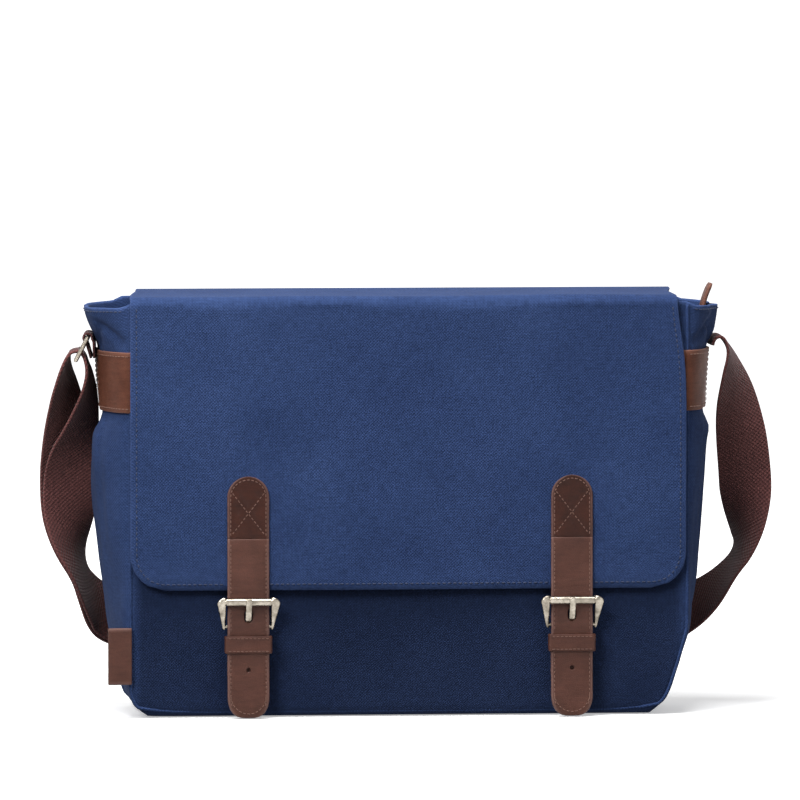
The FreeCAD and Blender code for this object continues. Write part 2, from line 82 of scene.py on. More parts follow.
# ---------------------------------------------------------------- node materials

class Nodes:
    """Short calls for one material's node tree."""

    def __init__(self, name):
        self.material = bpy.data.materials.new(name)
        self.material.use_nodes = True
        self.tree = self.material.node_tree
        self.shader = self.tree.nodes["Principled BSDF"]

    def add(self, kind, **values):
        node = self.tree.nodes.new(kind)
        for key, value in values.items():
            if key in node.inputs:
                node.inputs[key].default_value = value
            else:
                setattr(node, key, value)
        return node

    def join(self, out, socket):
        self.tree.links.new(out, socket)

    def math(self, operation, a, b=None):
        node = self.add("ShaderNodeMath", operation=operation)
        for socket, value in zip(node.inputs, (a, b)):
            if value is None:
                continue
            if isinstance(value, (int, float)):
                socket.default_value = value
            else:
                self.join(value, socket)
        return node.outputs[0]

    def times(self, a, b):
        return self.math("MULTIPLY", a, b)

    def plus(self, a, b):
        return self.math("ADD", a, b)

    def attribute(self, name):
        return self.add("ShaderNodeAttribute", attribute_name=name).outputs["Fac"]

    def place(self, output, scale):
        """Texture coordinates, stretched by a scale along each axis."""
        source = self.add("ShaderNodeTexCoord").outputs[output]
        mapping = self.add("ShaderNodeMapping")
        mapping.inputs["Scale"].default_value = scale
        self.join(source, mapping.inputs["Vector"])
        return mapping.outputs[0]

    def noise(self, where, scale, detail=3.0, rough=0.55):
        node = self.add("ShaderNodeTexNoise", Scale=scale, Detail=detail, Roughness=rough)
        self.join(where, node.inputs["Vector"])
        return node.outputs["Fac"]

    def grain(self, scale, detail=3.0, rough=0.55):
        """Noise that is the same in every direction."""
        return self.noise(self.place("Object", (1, 1, 1)), scale, detail, rough)

    def ramp(self, factor, stops):
        """Colour or value over a factor; stops are (position, colour)."""
        node = self.add("ShaderNodeValToRGB")
        elements = node.color_ramp.elements
        while len(elements) < len(stops):
            elements.new(0.5)
        for element, (position, colour) in zip(elements, stops):
            element.position = position
            element.color = (*colour, 1.0)
        self.join(factor, node.inputs[0])
        return node.outputs[0]

    def mix(self, factor, a, b, blend="MIX"):
        node = self.add("ShaderNodeMix", data_type="RGBA", blend_type=blend)
        for socket, value in ((node.inputs[0], factor), (node.inputs[6], a), (node.inputs[7], b)):
            if isinstance(value, (int, float)):
                socket.default_value = value
            elif isinstance(value, tuple):
                socket.default_value = (*value, 1.0)
            else:
                self.join(value, socket)
        return node.outputs[2]

    def shade(self, colour, amount, factor, low, dark, high):
        """Darkens a colour where a factor is low."""
        tint = self.ramp(factor, ((low, (dark,) * 3), (high, (1.0,) * 3)))
        return self.mix(amount, colour, tint, "MULTIPLY")

    def grey(self, factor, low, high):
        """A value that runs from low to high over a factor."""
        node = self.add("ShaderNodeMapRange")
        node.inputs["To Min"].default_value = low
        node.inputs["To Max"].default_value = high
        self.join(factor, node.inputs["Value"])
        return node.outputs[0]

    def bump(self, height, strength, distance, under=None):
        node = self.add("ShaderNodeBump", Strength=strength, Distance=distance)
        self.join(height, node.inputs["Height"])
        if under is not None:
            self.join(under, node.inputs["Normal"])
        return node.outputs[0]

    def surface(self, sheen, shine):
        self.shader.inputs["Sheen Weight"].default_value = sheen
        self.shader.inputs["Specular IOR Level"].default_value = shine

    def finish(self, colour, rough, normal):
        self.join(colour, self.shader.inputs["Base Color"])
        self.join(rough, self.shader.inputs["Roughness"])
        self.join(normal, self.shader.inputs["Normal"])
        return self.material


def weave_height(n, pitch_u, pitch_v):
    """Over-and-under threads of a plain weave, from UVs in metres."""
    parts = n.add("ShaderNodeSeparateXYZ")
    n.join(n.place("UV", (1.0, 1.0, 1.0)), parts.inputs[0])
    u, v = (n.math("SINE", n.times(out, math.pi / pitch))
            for out, pitch in zip(parts.outputs, (pitch_u, pitch_v)))
    return n.times(u, v)


def canvas_material(name, dark, base, light, pitch=1.15 * MM):
    """Cotton canvas: plain weave, uneven threads both ways, faded patches, frayed edges, and
    painted shade where a mask darkens it.
    """
    n = Nodes(name)
    weave = weave_height(n, pitch, pitch)
    warp = n.noise(n.place("UV", (680, 130, 1)), 1.0, 3.0)
    weft = n.noise(n.place("UV", (130, 680, 1)), 1.0, 3.0)
    slub = n.times(n.plus(warp, weft), 0.5)
    patches = n.grain(11.0, 5.0, 0.6)
    colour = n.ramp(patches, ((0.30, dark), (0.52, base), (0.75, light)))
    colour = n.shade(colour, 0.7, slub, 0.38, 0.55, 0.62)
    colour = n.shade(colour, 0.55, n.grey(weave, 0.5, 1.0), 0.25, 0.62, 0.85)
    fray = n.times(n.attribute("wear_and_highlight"), n.grain(260.0, 2.0))
    colour = n.mix(fray, colour, tuple(min(1.0, c * 2.2 + 0.015) for c in light))
    # Painted shade: where the shade mask is set, on the front panel under the flap, the canvas
    # colour is darkened to stand in for the flap's shadow.
    painted_shade = n.mix(1.0, colour, (0.46, 0.45, 0.45), "MULTIPLY")
    colour = n.mix(n.attribute("painted_shade"), colour, painted_shade)
    height = n.plus(n.times(weave, 0.5), n.times(slub, 2.0))
    fuzz = n.bump(n.grain(70.0, 4.0), 0.35, 0.8 * MM)
    n.surface(0.02, 0.06)
    return n.finish(colour, n.grey(slub, 0.83, 0.96),
                    n.bump(height, 0.75, 0.40 * MM, fuzz))


def leather_material(name, dark, base, light, rough=0.46, shine=0.3):
    """Oiled leather: fine cells, pores, long creases, and edges made pale, partly from rubbing and
    partly as a painted highlight.
    """
    n = Nodes(name)
    where = n.place("Object", (1, 1, 1))
    cells = n.add("ShaderNodeTexVoronoi", feature="DISTANCE_TO_EDGE", Scale=780.0)
    n.join(where, cells.inputs["Vector"])
    cell = n.math("MINIMUM", n.times(cells.outputs["Distance"], 4.0), 1.0)
    pull_up = n.noise(where, 42.0, 5.0, 0.6)
    fine = n.noise(where, 900.0, 3.0)
    creases = n.noise(n.place("Object", (1, 1, 4.5)), 95.0, 4.0, 0.65)
    colour = n.ramp(pull_up, ((0.30, dark), (0.50, base), (0.72, light)))
    colour = n.shade(colour, 0.45, creases, 0.35, 0.55, 0.6)
    colour = n.shade(colour, 0.35, cell, 0.0, 0.40, 0.5)
    # Edges painted pale along the edge mask: partly rubbing, partly a painted highlight.
    rubbed_and_highlit = n.times(n.attribute("wear_and_highlight"), n.grey(n.noise(where, 150.0, 3.0), 0.4, 1.0))
    colour = n.mix(rubbed_and_highlit, colour, tuple(c * 1.6 + 0.07 for c in light))
    height = n.plus(cell, n.times(fine, 0.6))
    soft = n.bump(creases, 0.45, 0.6 * MM)
    n.surface(0.0, shine)
    return n.finish(colour, n.grey(pull_up, rough + 0.10, rough - 0.08),
                    n.bump(height, 0.35, 0.18 * MM, soft))


def webbing_material(name, dark, base, light):
    """Cotton webbing: ribs along it, crossed by picks, each thread a little different."""
    n = Nodes(name)
    weave = weave_height(n, 1.7 * MM, 1.45 * MM)
    yarn = n.noise(n.place("UV", (520, 130, 1)), 1.0, 3.0)
    colour = n.ramp(yarn, ((0.28, dark), (0.50, base), (0.74, light)))
    colour = n.shade(colour, 0.55, n.grey(weave, 0.5, 1.0), 0.40, 0.42, 0.9)
    # Selvedges painted pale along the edge mask: partly fraying, partly a painted highlight.
    colour = n.mix(n.times(n.attribute("wear_and_highlight"), 0.4), colour, tuple(c * 1.9 for c in light))
    height = n.plus(weave, n.times(yarn, 0.5))
    n.surface(0.15, 0.2)
    return n.finish(colour, n.grey(yarn, 0.80, 0.94), n.bump(height, 0.7, 0.5 * MM))


def metal_material(name, dark, base, light, rough):
    """Antique nickel: satin, darker in its hollows, finely scratched."""
    n = Nodes(name)
    where = n.place("Object", (1, 1, 1))
    patina = n.noise(where, 160.0, 5.0, 0.6)
    scratch = n.noise(n.place("Object", (900, 900, 60)), 1.0, 2.0)
    colour = n.ramp(patina, ((0.32, dark), (0.50, base), (0.70, light)))
    n.shader.inputs["Metallic"].default_value = 1.0
    height = n.plus(patina, n.times(scratch, 0.4))
    return n.finish(colour, n.grey(patina, rough + 0.12, rough - 0.06),
                    n.bump(height, 0.18, 0.08 * MM))


def plain_material(name, dark, light, scale, rough):
    """Thread and board: a mottled colour with a fine surface."""
    n = Nodes(name)
    spots = n.grain(scale)
    colour = n.ramp(spots, ((0.3, dark), (0.7, light)))
    return n.finish(colour, n.grey(spots, rough - 0.05, rough + 0.05),
                    n.bump(spots, 0.3, 0.2 * MM))


CANVAS = canvas_material("navy_canvas", (0.029, 0.054, 0.150), (0.037, 0.068, 0.182),
                         (0.046, 0.082, 0.212))
LINING = canvas_material("lining_cloth", (0.075, 0.065, 0.055), (0.10, 0.09, 0.075),
                         (0.13, 0.115, 0.10), 0.5 * MM)
TAPE = canvas_material("zip_tape_cloth", (0.010, 0.018, 0.045), (0.013, 0.023, 0.055),
                       (0.018, 0.030, 0.07), 0.45 * MM)
LEATHER = leather_material("strap_leather", (0.055, 0.0185, 0.012), (0.080, 0.028, 0.018),
                           (0.105, 0.039, 0.026), 0.46, 0.22)
# Anchor patches: the strap's leather with its colour painted darker, as painted shade.
SHADED_PATCH_LEATHER = leather_material("shaded_patch_leather", (0.028, 0.0068, 0.0034), (0.045, 0.0108, 0.005),
                                 (0.070, 0.018, 0.009), 0.32, 0.16)
TRIM_LEATHER = leather_material("band_leather", (0.085, 0.029, 0.017), (0.125, 0.044, 0.026),
                                (0.160, 0.060, 0.036), 0.48, 0.10)
WEBBING = webbing_material("strap_webbing", (0.080, 0.026, 0.025), (0.112, 0.036, 0.034),
                           (0.145, 0.050, 0.046))
NICKEL = metal_material("antique_nickel", (0.13, 0.112, 0.09), (0.29, 0.258, 0.212),
                        (0.45, 0.41, 0.345), 0.26)
NAVY_THREAD, BROWN_THREAD, TAN_THREAD = (
    plain_material(name + "_thread", dark, light, 1500.0, rough) for name, dark, light, rough in (
        ("navy", (0.010, 0.018, 0.050), (0.022, 0.038, 0.095), 0.7),
        ("brown", (0.10, 0.045, 0.030), (0.20, 0.098, 0.070), 0.6),
        ("tan", (0.13, 0.062, 0.042), (0.24, 0.125, 0.088), 0.6)))
BOARD = plain_material("stiffening_board", (0.03, 0.028, 0.026), (0.06, 0.055, 0.05), 400.0, 0.8)


def sweep_paper():
    """White studio paper: lit like paper near the bag, glowing white further away."""
    n = Nodes("studio_sweep")
    reach = n.add("ShaderNodeVectorMath", operation="LENGTH")
    n.join(n.place("Object", (1, 1, 1)), reach.inputs[0])
    away = n.add("ShaderNodeMapRange")
    for name, value in (("From Min", 0.35), ("From Max", 1.1), ("To Min", 0.40), ("To Max", 1.0)):
        away.inputs[name].default_value = value
    n.join(reach.outputs["Value"], away.inputs["Value"])
    for name, value in (("Base Color", (0.86, 0.86, 0.86, 1.0)), ("Roughness", 0.95),
                        ("Specular IOR Level", 0.0), ("Emission Color", (1.0, 1.0, 1.0, 1.0))):
        n.shader.inputs[name].default_value = value
    n.join(away.outputs[0], n.shader.inputs["Emission Strength"])
    return n.material


# ---------------------------------------------------------------- mesh building

def loft(name, rings, material, capped=True, wear_and_highlight=None):
    """Skin over rings of points, with UVs in metres; the edge mask is a value for each ring and
    column: fraying on canvas, and partly rubbing, partly painted highlight on leather and webbing
    edges.
    """
    count = len(rings[0])
    middle = rings[len(rings) // 2]
    around, along = [0.0], [0.0]
    for j in range(count):
        around.append(around[-1] + (middle[(j + 1) % count] - middle[j]).length)
    for ring, following in zip(rings, rings[1:]):
        step = sum((b - a).length for a, b in zip(ring, following)) / count
        along.append(along[-1] + step)
    faces, corners = [], []
    for i in range(len(rings) - 1):
        for j in range(count):
            k = (j + 1) % count
            faces.append((i * count + j, i * count + k, (i + 1) * count + k, (i + 1) * count + j))
            corners += [(around[j], along[i]), (around[j + 1], along[i]),
                        (around[j + 1], along[i + 1]), (around[j], along[i + 1])]
    if capped:
        last = (len(rings) - 1) * count
        faces += [tuple(reversed(range(count))), tuple(range(last, last + count))]
        corners += [(around[j], along[0]) for j in reversed(range(count))]
        corners += [(around[j], along[-1]) for j in range(count)]
    mesh = bpy.data.meshes.new(name)
    mesh.from_pydata([tuple(point) for ring in rings for point in ring], [], faces)
    layer = mesh.uv_layers.new(name="UVMap")
    layer.data.foreach_set("uv", [value for corner in corners for value in corner])
    mesh.polygons.foreach_set("use_smooth", [True] * len(mesh.polygons))
    if wear_and_highlight is not None:
        attribute = mesh.attributes.new("wear_and_highlight", "FLOAT", "POINT")
        attribute.data.foreach_set("value", [value for ring in wear_and_highlight for value in ring])
    mesh.materials.append(material)
    mesh.validate()
    face_outward(mesh)
    return link(bpy.data.objects.new(name, mesh))


def face_outward(mesh):
    """Turns every face of closed pieces outward."""
    faces = bmesh.new()
    faces.from_mesh(mesh)
    bmesh.ops.recalc_face_normals(faces, faces=faces.faces)
    faces.to_mesh(mesh)
    faces.free()


def link(obj):
    bpy.context.scene.collection.objects.link(obj)
    return obj


def solid(name, verts, faces, material, smooth=True):
    """A plain object from its points and faces."""
    mesh = bpy.data.meshes.new(name)
    mesh.from_pydata([tuple(vert) for vert in verts], [], faces)
    mesh.polygons.foreach_set("use_smooth", [smooth] * len(mesh.polygons))
    mesh.materials.append(material)
    return link(bpy.data.objects.new(name, mesh))


def spread(low, high, steps):
    """Even steps from one value to another, both ends included."""
    return [low + (high - low) * k / steps for k in range(steps + 1)]


def heading(line, i):
    """Which way a line of points runs at one of them."""
    return (line[min(i + 1, len(line) - 1)] - line[max(i - 1, 0)]).normalized()


def circle(centre, aside, up, radius, sides):
    return [centre + (aside * math.cos(t) + up * math.sin(t)) * radius
            for t in (math.tau * k / sides for k in range(sides))]


def prism_faces(first, sides, levels):
    """Sides and both ends of a stack of rings whose points start at a number."""
    faces = []
    for a in range(first, first + sides * levels, sides):
        faces += [(a + k, a + (k + 1) % sides, a + sides + (k + 1) % sides, a + sides + k)
                  for k in range(sides)]
    faces.append(tuple(first + k for k in reversed(range(sides))))
    faces.append(tuple(first + sides * levels + k for k in range(sides)))
    return faces


def apply_modifiers(obj):
    """Keeps what the modifiers make of the mesh."""
    bpy.context.view_layer.update()
    evaluated = obj.evaluated_get(bpy.context.evaluated_depsgraph_get())
    mesh = bpy.data.meshes.new_from_object(evaluated, preserve_all_data_layers=True,
                                           depsgraph=bpy.context.evaluated_depsgraph_get())
    obj.modifiers.clear()
    obj.data = mesh
    return obj


def section(half, thick, columns):
    """Closed outline of a flat strip with round edges: (across, out) for each point."""
    r = min(thick / 2, half * 0.9)
    front = [(-half + r + 2 * (half - r) * k / columns, r) for k in range(columns + 1)]
    turn = [math.pi * k / 4 for k in (1, 2, 3)]
    right = [(half - r + r * math.sin(t), r * math.cos(t)) for t in turn]
    back = [(a, -b) for a, b in reversed(front)]
    left = [(-a, b) for a, b in reversed(right)]
    return front + right + back + left


def strip(name, stations, material, columns=16, shape=None, edge_wear_and_highlight=0.0):
    """Flat strip through stations of (centre, across, out, half width, thickness)."""
    rings, wear_and_highlight = [], []
    for i, (centre, across, out, half, thick) in enumerate(stations):
        ring, worn_and_lit = [], []
        for a, b in section(half, thick, columns):
            extra = shape(a, i) if shape else 0.0
            ring.append(centre + across * a + out * (b + extra))
            # Mask along the edges, which the leather paints pale: partly rubbing, partly a painted
            # highlight.
            near = 1 - min(1.0, max(0.0, half - abs(a) - 0.8 * MM) / (1.4 * MM))
            worn_and_lit.append(edge_wear_and_highlight * near)
        rings.append(ring)
        wear_and_highlight.append(worn_and_lit)
    return loft(name, rings, material, wear_and_highlight=wear_and_highlight)


def melt(obj, voxel, smooth):
    """One closed surface with rounded edges."""
    remesh = obj.modifiers.new("remesh", "REMESH")
    remesh.mode = "VOXEL"
    remesh.voxel_size = voxel
    rounding = obj.modifiers.new("rounding", "SMOOTH")
    rounding.factor = 0.5
    rounding.iterations = smooth
    apply_modifiers(obj)
    obj.data.polygons.foreach_set("use_smooth", [True] * len(obj.data.polygons))
    return obj


def soften(node, material, voxel, smooth=5):
    """A CAD piece's own shape with its edges rounded, as cast or folded pieces are."""
    obj = link(bpy.data.objects.new(node + "_finished", frame["nodes"][node].data.copy()))
    obj.data.materials.clear()
    obj.data.materials.append(material)
    return melt(obj, voxel, smooth)


def keep(obj, body, slot, *nodes):
    """Rides on its body and stands for its CAD nodes, which it hides; the slot argument is not
    used.
    """
    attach(obj, body)
    if nodes:
        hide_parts(*nodes)
    return obj


def resample(points, step):
    """(place, direction) about a step apart along a line of points."""
    total = sum((b - a).length for a, b in zip(points, points[1:]))
    count = max(1, round(total / step))
    found, target, gone = [], total / count / 2, 0.0
    for a, b in zip(points, points[1:]):
        length = (b - a).length
        while length > 0 and target <= gone + length:
            found.append((a.lerp(b, (target - gone) / length), (b - a).normalized()))
            target += total / count
        gone += length
    return found


def stitches(name, runs, material, body, slot, length=2.6 * MM, gap=1.3 * MM, radius=0.48 * MM):
    """Rows of thread: each run is (points, out direction). One object for all of them."""
    verts, faces = [], []
    shape = ((-0.5, 0.35, -0.6), (-0.34, 1.0, 0.35), (0.34, 1.0, 0.35), (0.5, 0.35, -0.6))
    for points, out in runs:
        for place, ahead in resample(points, length + gap):
            up = (out - ahead * out.dot(ahead)).normalized()
            aside = ahead.cross(up)
            first = len(verts)
            for along, size, lift in shape:
                centre = place + ahead * (along * length) + up * (lift * radius)
                verts += circle(centre, aside, up, radius * size, 6)
            faces += prism_faces(first, 6, 3)
    thread = solid(name, verts, faces, material)
    face_outward(thread.data)
    keep(thread, body, slot)


def ease(t):
    t = min(1.0, max(0.0, t))
    return t * t * (3 - 2 * t)


def hump(x, wide):
    """1 at nought, falling away on both sides."""
    return math.exp(-(x / wide) ** 2)


def between(levels, z):
    """Value between (height, value) levels."""
    if z <= levels[0][0]:
        return levels[0][1]
    for (za, a), (zb, b) in zip(levels, levels[1:]):
        if z <= zb:
            return a + (b - a) * ((z - za) / (zb - za))
    return levels[-1][1]


def smoothed(levels, z, spread):
    """The same with its corners rounded over a spread of heights."""
    return sum(between(levels, z + spread * k / 3) for k in range(-3, 4)) / 7


def wave(x, y, z, seed):
    """Smooth random value, about -1 to 1."""
    return noise.noise(Vector((x, y, z + 17.3 * seed)))


# ---------------------------------------------------------------- bag body

# How far out each side reaches at heights in millimetres: the gussets, then the front panel's edge
GUSSET_REACH = {-1: ((0, 187), (12, 198), (21, 202), (45, 207.5), (68, 212), (90, 215), (110, 218),
                     (148, 223), (180, 225), (198, 223.5), (214, 216), (244, 218), (262, 219),
                     (270, 222), (279, 227), (288, 230.5), (294, 232)),
                1: ((0, 178), (10, 187), (20, 191), (38, 197.5), (64, 205), (100, 211),
                    (142, 213.5), (171, 217), (206, 218), (215, 214.5), (244, 216.5), (262, 217),
                    (273, 223), (294, 226))}
PANEL_EDGE = {-1: ((0, 186), (3, 192), (9, 197), (18, 199.6), (24, 200)),
              1: ((0, 170), (3, 177), (9, 183), (20, 188), (38, 193.5), (62, 200))}


@lru_cache(maxsize=None)
def half_width(z, side):
    """How far the front panel reaches to one side; it rounds in at the lower corners."""
    return smoothed(PANEL_EDGE[side], z / MM, 2.0) * MM


def half_depth(z):
    low = 7 * MM
    if z >= low:
        return HALF_D
    return HALF_D - 4 * MM + 4 * MM * math.sqrt(1 - (1 - z / low) ** 2)


@lru_cache(maxsize=None)
def gusset_reach(z, side):
    """How far out a gusset stands at the middle of the depth."""
    return smoothed(GUSSET_REACH[side], z / MM, 5.0) * MM


def gusset_x(side, across, z, inset=0.0):
    """How far out the gusset stands at a share of the depth (-1 front, 1 back)."""
    edge = half_width(z, side) - 0.6 * MM
    reach = max(gusset_reach(z, side), edge + 1 * MM)
    bulge = (reach - edge) * (1 - across * across) ** 0.62
    soft = ease((z - 12 * MM) / (50 * MM))
    pinch = hump(z - BAND_MIDDLE_Z, 26 * MM)
    free = soft * (1 - pinch)
    folds = wave(across * 2.4 - z * 3, z * 20, side * 3.0, 1) * 3.0 * MM * free
    drape = wave(across * 5.5, z * 9 + across, side * 5.0, 2) * 1.6 * MM * free
    below = hump(z - BAND_FOOT_Z + across * 10 * MM, 7 * MM) * 1.6 * MM
    ear = ease((z - EAR_FOOT_Z) / (20 * MM))
    tuck = hump(across - 0.1, 0.16) * 4.5 * MM * ear
    creases = 0.0
    for start, slope, deep, wide in ((-0.95, 22, 4.2, 0.10), (-0.35, -16, 2.6, 0.09),
                                     (0.62, 14, 3.0, 0.12)):
        gap = across - start - (z - 268 * MM) * slope
        creases += deep * MM * hump(gap, wide)
    creases *= ease((z - 262 * MM) / (6 * MM)) * ease((290 * MM - z) / (12 * MM))
    keep_in = 1 - across ** 8
    return side * (edge + bulge + (folds + drape + below - tuck - creases) * keep_in - inset)


def front_y(x, z, inset=0.0):
    """The front panel's face: nearly flat, fuller in the middle, gathered near its base."""
    full = math.cos(min(1.0, abs(x) / HALF_W) * math.pi / 2) * math.sin(
        min(1.0, z / PANEL_TOP) * math.pi)
    low = hump(z - 26 * MM, 24 * MM)
    pucker = wave(x * 24, z * 10, 0, 3) * 1.5 * MM * low
    pull = wave(x * 9 + z * 4, z * 14, 0, 4) * 1.2 * MM
    inside = ease((HALF_W - abs(x)) / (22 * MM))
    lean = (2.2 + 2.4 * inside) * MM * ease((110 * MM - z) / (110 * MM))
    behind = 1.6 * MM * inside
    return -half_depth(z) - 0.5 * MM * full + pucker + pull * ease((100 * MM - z) / (60 * MM)) \
        + lean + behind + inset


def back_y(x, z, inset=0.0):
    full = math.cos(min(1.0, abs(x) / HALF_W) * math.pi / 2)
    return half_depth(z) + 0.6 * MM * full + wave(x * 9, z * 10, 0, 5) * 0.7 * MM - inset


def base_lift(x, y, z):
    """The base bellies down a little, so its edges stand clear of the ground."""
    edge = max(abs(y) / HALF_D, (abs(x) / HALF_W) ** 2)
    return 3.4 * MM * edge ** 6 * max(0.0, 1 - z / (14 * MM))


def gusset_point(side, across, z, inset=0.0):
    """Point of a gusset; its ends meet the panels' faces."""
    edge = side * half_width(z, side)
    face = front_y(edge, z, inset) if across < 0 else back_y(edge, z, inset)
    return Vector((gusset_x(side, across, z, inset), abs(across) * face, z))


def bag_loop(z, inset=0.0):
    """The bag's outline at one height, as a closed loop that starts at the front left corner."""
    rows, bow = 90, 56
    left, right = half_width(z, -1) - inset * 0.6, half_width(z, 1) - inset * 0.6
    loop = [Vector((x, front_y(x, z, inset), z))
            for x in (-left + (left + right) * k / rows for k in range(rows))]
    for k in range(bow):
        across = -1 + 2 * k / bow
        loop.append(gusset_point(1, across, z, inset))
    loop += [Vector((x, back_y(x, z, inset), z))
             for x in (right - (left + right) * k / rows for k in range(rows))]
    for k in range(bow):
        across = 1 - 2 * k / bow
        loop.append(gusset_point(-1, across, z, inset))
    return loop


def rim_z(point, top):
    """The ears' rims stand a little lower than the panels' and dip at the middle."""
    beyond = ease((abs(point.x) - HALF_W + 2 * MM) / (9 * MM))
    return top - beyond * (3.2 * MM + 1.2 * MM * (1 - (point.y / HALF_D) ** 2))


def make_bag_shell():
    """One continuous bag: outside from base to rim, over the rim, and down inside."""
    heights = [0.05, 0.6, 1.6, 3.0, 5.0, 7.5, 11, 15, 20, 25, 30]
    heights += [30 + 4.5 * k for k in range(1, 53)] + [264 + 1.65 * k for k in range(1, 20)]
    heights += [296.6]
    heights = [h * MM for h in heights]
    rings, wear_and_highlight = [], []
    for scale in (0.02, 0.5, 0.9):
        rings.append([Vector((p.x * scale, p.y * scale, 0.05 * MM)) for p in bag_loop(0.05 * MM)])
    for z in heights:
        rings.append(bag_loop(z))
    outer = len(rings)
    for inset, z in ((0.5 * MM, PANEL_TOP), (2.0 * MM, PANEL_TOP)):
        rings.append(bag_loop(z, inset))
    for z in [PANEL_TOP - 2 * MM] + list(reversed(heights[9:-2:3])):
        rings.append(bag_loop(z, CLOTH_T))
    for scale in (0.9, 0.5, 0.02):
        floor = bag_loop(10 * MM, CLOTH_T + 1 * MM)
        rings.append([Vector((p.x * scale, p.y * scale, 3.5 * MM)) for p in floor])
    for i, ring in enumerate(rings):
        for point in ring:
            if point.z > 270 * MM:
                share = (point.z - 270 * MM) / (PANEL_TOP - 270 * MM)
                point.z += (rim_z(point, PANEL_TOP) - PANEL_TOP) * share
            elif i < outer:
                point.z += base_lift(point.x, point.y, point.z)
        rim = 1.0 if outer - 2 <= i <= outer + 1 else 0.0
        foot = 0.5 if 3 <= i <= 6 else 0.0
        wear_and_highlight.append([max(rim * 0.5, foot * 0.5)] * len(ring))
    shell = loft("bag_shell", rings, CANVAS, wear_and_highlight=wear_and_highlight)
    # Painted shade: a mask over the front panel that darkens its canvas, standing in for the shadow
    # under the flap.
    shade_layer = shell.data.attributes.new("painted_shade", "FLOAT", "POINT")
    shade_layer.data.foreach_set("value", [
        ease((HALF_W - abs(vertex.co.x)) / (8 * MM)) if vertex.co.y < -40 * MM else 0.0
        for vertex in shell.data.vertices])
    return keep(shell, "root", "canvas", "front_panel", "back_panel", "base_panel",
                "left_gusset", "right_gusset")


def panel_outline(y_of, out):
    """Points round a panel's seam: down one side, round the corners and up the other."""
    line = []
    for side in (1, -1):
        half = [(side * half_width(z, side), z)
                for z in (PANEL_TOP - 2 * MM - 3.4 * MM * k for k in range(86))]
        low_x, low_z = abs(half[-1][0]), half[-1][1]
        half += [(side * low_x * (1 - k / 40), 1.2 * MM + (low_z - 1.2 * MM) * (1 - k / 40) ** 14)
                 for k in range(1, 41)]
        line = line + half if side > 0 else line + list(reversed(half[:-1]))
    return [Vector((x * 0.9985, y_of(x, z) + out, z + base_lift(x, HALF_D, z))) for x, z in line]


def canvas_cord(name, points, radius):
    """Round canvas-covered cord along a line of points."""
    rings = []
    for i, point in enumerate(points):
        ahead = heading(points, i)
        aside = ahead.cross(BACK).normalized()
        up = aside.cross(ahead)
        rings.append(circle(point, aside, up, radius, 10))
    return loft(name, rings, CANVAS)


def make_seams():
    """The turned seams that join the panels to the gusset, and the gusset's hem stitching."""
    for name, y_of, out in (("front", front_y, 0.2 * MM), ("back", back_y, -0.2 * MM)):
        ridge = canvas_cord(name + "_seam_ridge", panel_outline(y_of, out), 1.25 * MM)
        keep(ridge, "root", "canvas")
    runs = []
    hem = 3.2 * MM
    for side in (-1, 1):
        line = []
        for a in range(-29, 30):
            point = gusset_point(side, a / 30, PANEL_TOP - hem)
            point.z += (rim_z(point, PANEL_TOP) - PANEL_TOP) * 0.9
            line.append(point + RIGHT * (side * 0.15 * MM))
        runs.append((line, RIGHT * side))
    stitches("ear_hem_stitching", runs, NAVY_THREAD, "root", "canvas")


# ---------------------------------------------------------------- flap

FLAP_HALF = FLAP_HIGH.x
FLAP_CORNER_R = 25 * MM
FOLD_R = 7 * MM
FLAP_T = 2.2 * MM
STRAP_X = (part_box("right_flap_strap")[0].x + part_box("right_flap_strap")[1].x) / 2
PATCH_TOP_CLEAR = 178 * MM      # above this the flap is free of its patches


def flap_path():
    """Mid-line of the flap in Y and Z: up the rear hem, over the top, round and down the front."""
    y_back, y_face = HEM_HIGH.y - 1.0 * MM, FLAP_LOW.y + FLAP_T / 2
    z_top = FLAP_HIGH.z - FLAP_T / 2
    bend = 3.0 * MM
    line = [(y_back, HEM_LOW.z + 5 * MM * k) for k in range(6)]
    line.append((y_back, z_top - bend - 0.5 * MM))
    for k in range(1, 6):
        t = math.pi / 2 * k / 6
        line.append((y_back - bend + bend * math.cos(t), z_top - bend + bend * math.sin(t)))
    line += [(y, z_top) for y in spread(y_back - bend, y_face + FOLD_R, 22)]
    for k in range(1, 9):
        t = math.pi / 2 * k / 8
        line.append((y_face + FOLD_R - FOLD_R * math.sin(t), z_top - FOLD_R + FOLD_R * math.cos(t)))
    line += [(y_face, z) for z in spread(z_top - FOLD_R, FLAP_LOW.z, 58)[1:]]
    return [Vector((0, y, z)) for y, z in line]


def flap_half(z, on_front):
    """Half width: full on top, rounding in at the two lower corners."""
    rise = z - FLAP_LOW.z
    if not on_front or rise >= FLAP_CORNER_R:
        return FLAP_HALF
    return FLAP_HALF - FLAP_CORNER_R + math.sqrt(
        max(0.0, FLAP_CORNER_R ** 2 - (FLAP_CORNER_R - rise) ** 2))


def near_straps(x, z):
    """1 on the closing straps and beside them, 0 well away from them."""
    if z > PATCH_TOP_CLEAR:
        return 0.0
    gap = min(abs(x - STRAP_X), abs(x + STRAP_X)) - 15 * MM
    return 1 - ease(gap / (14 * MM))


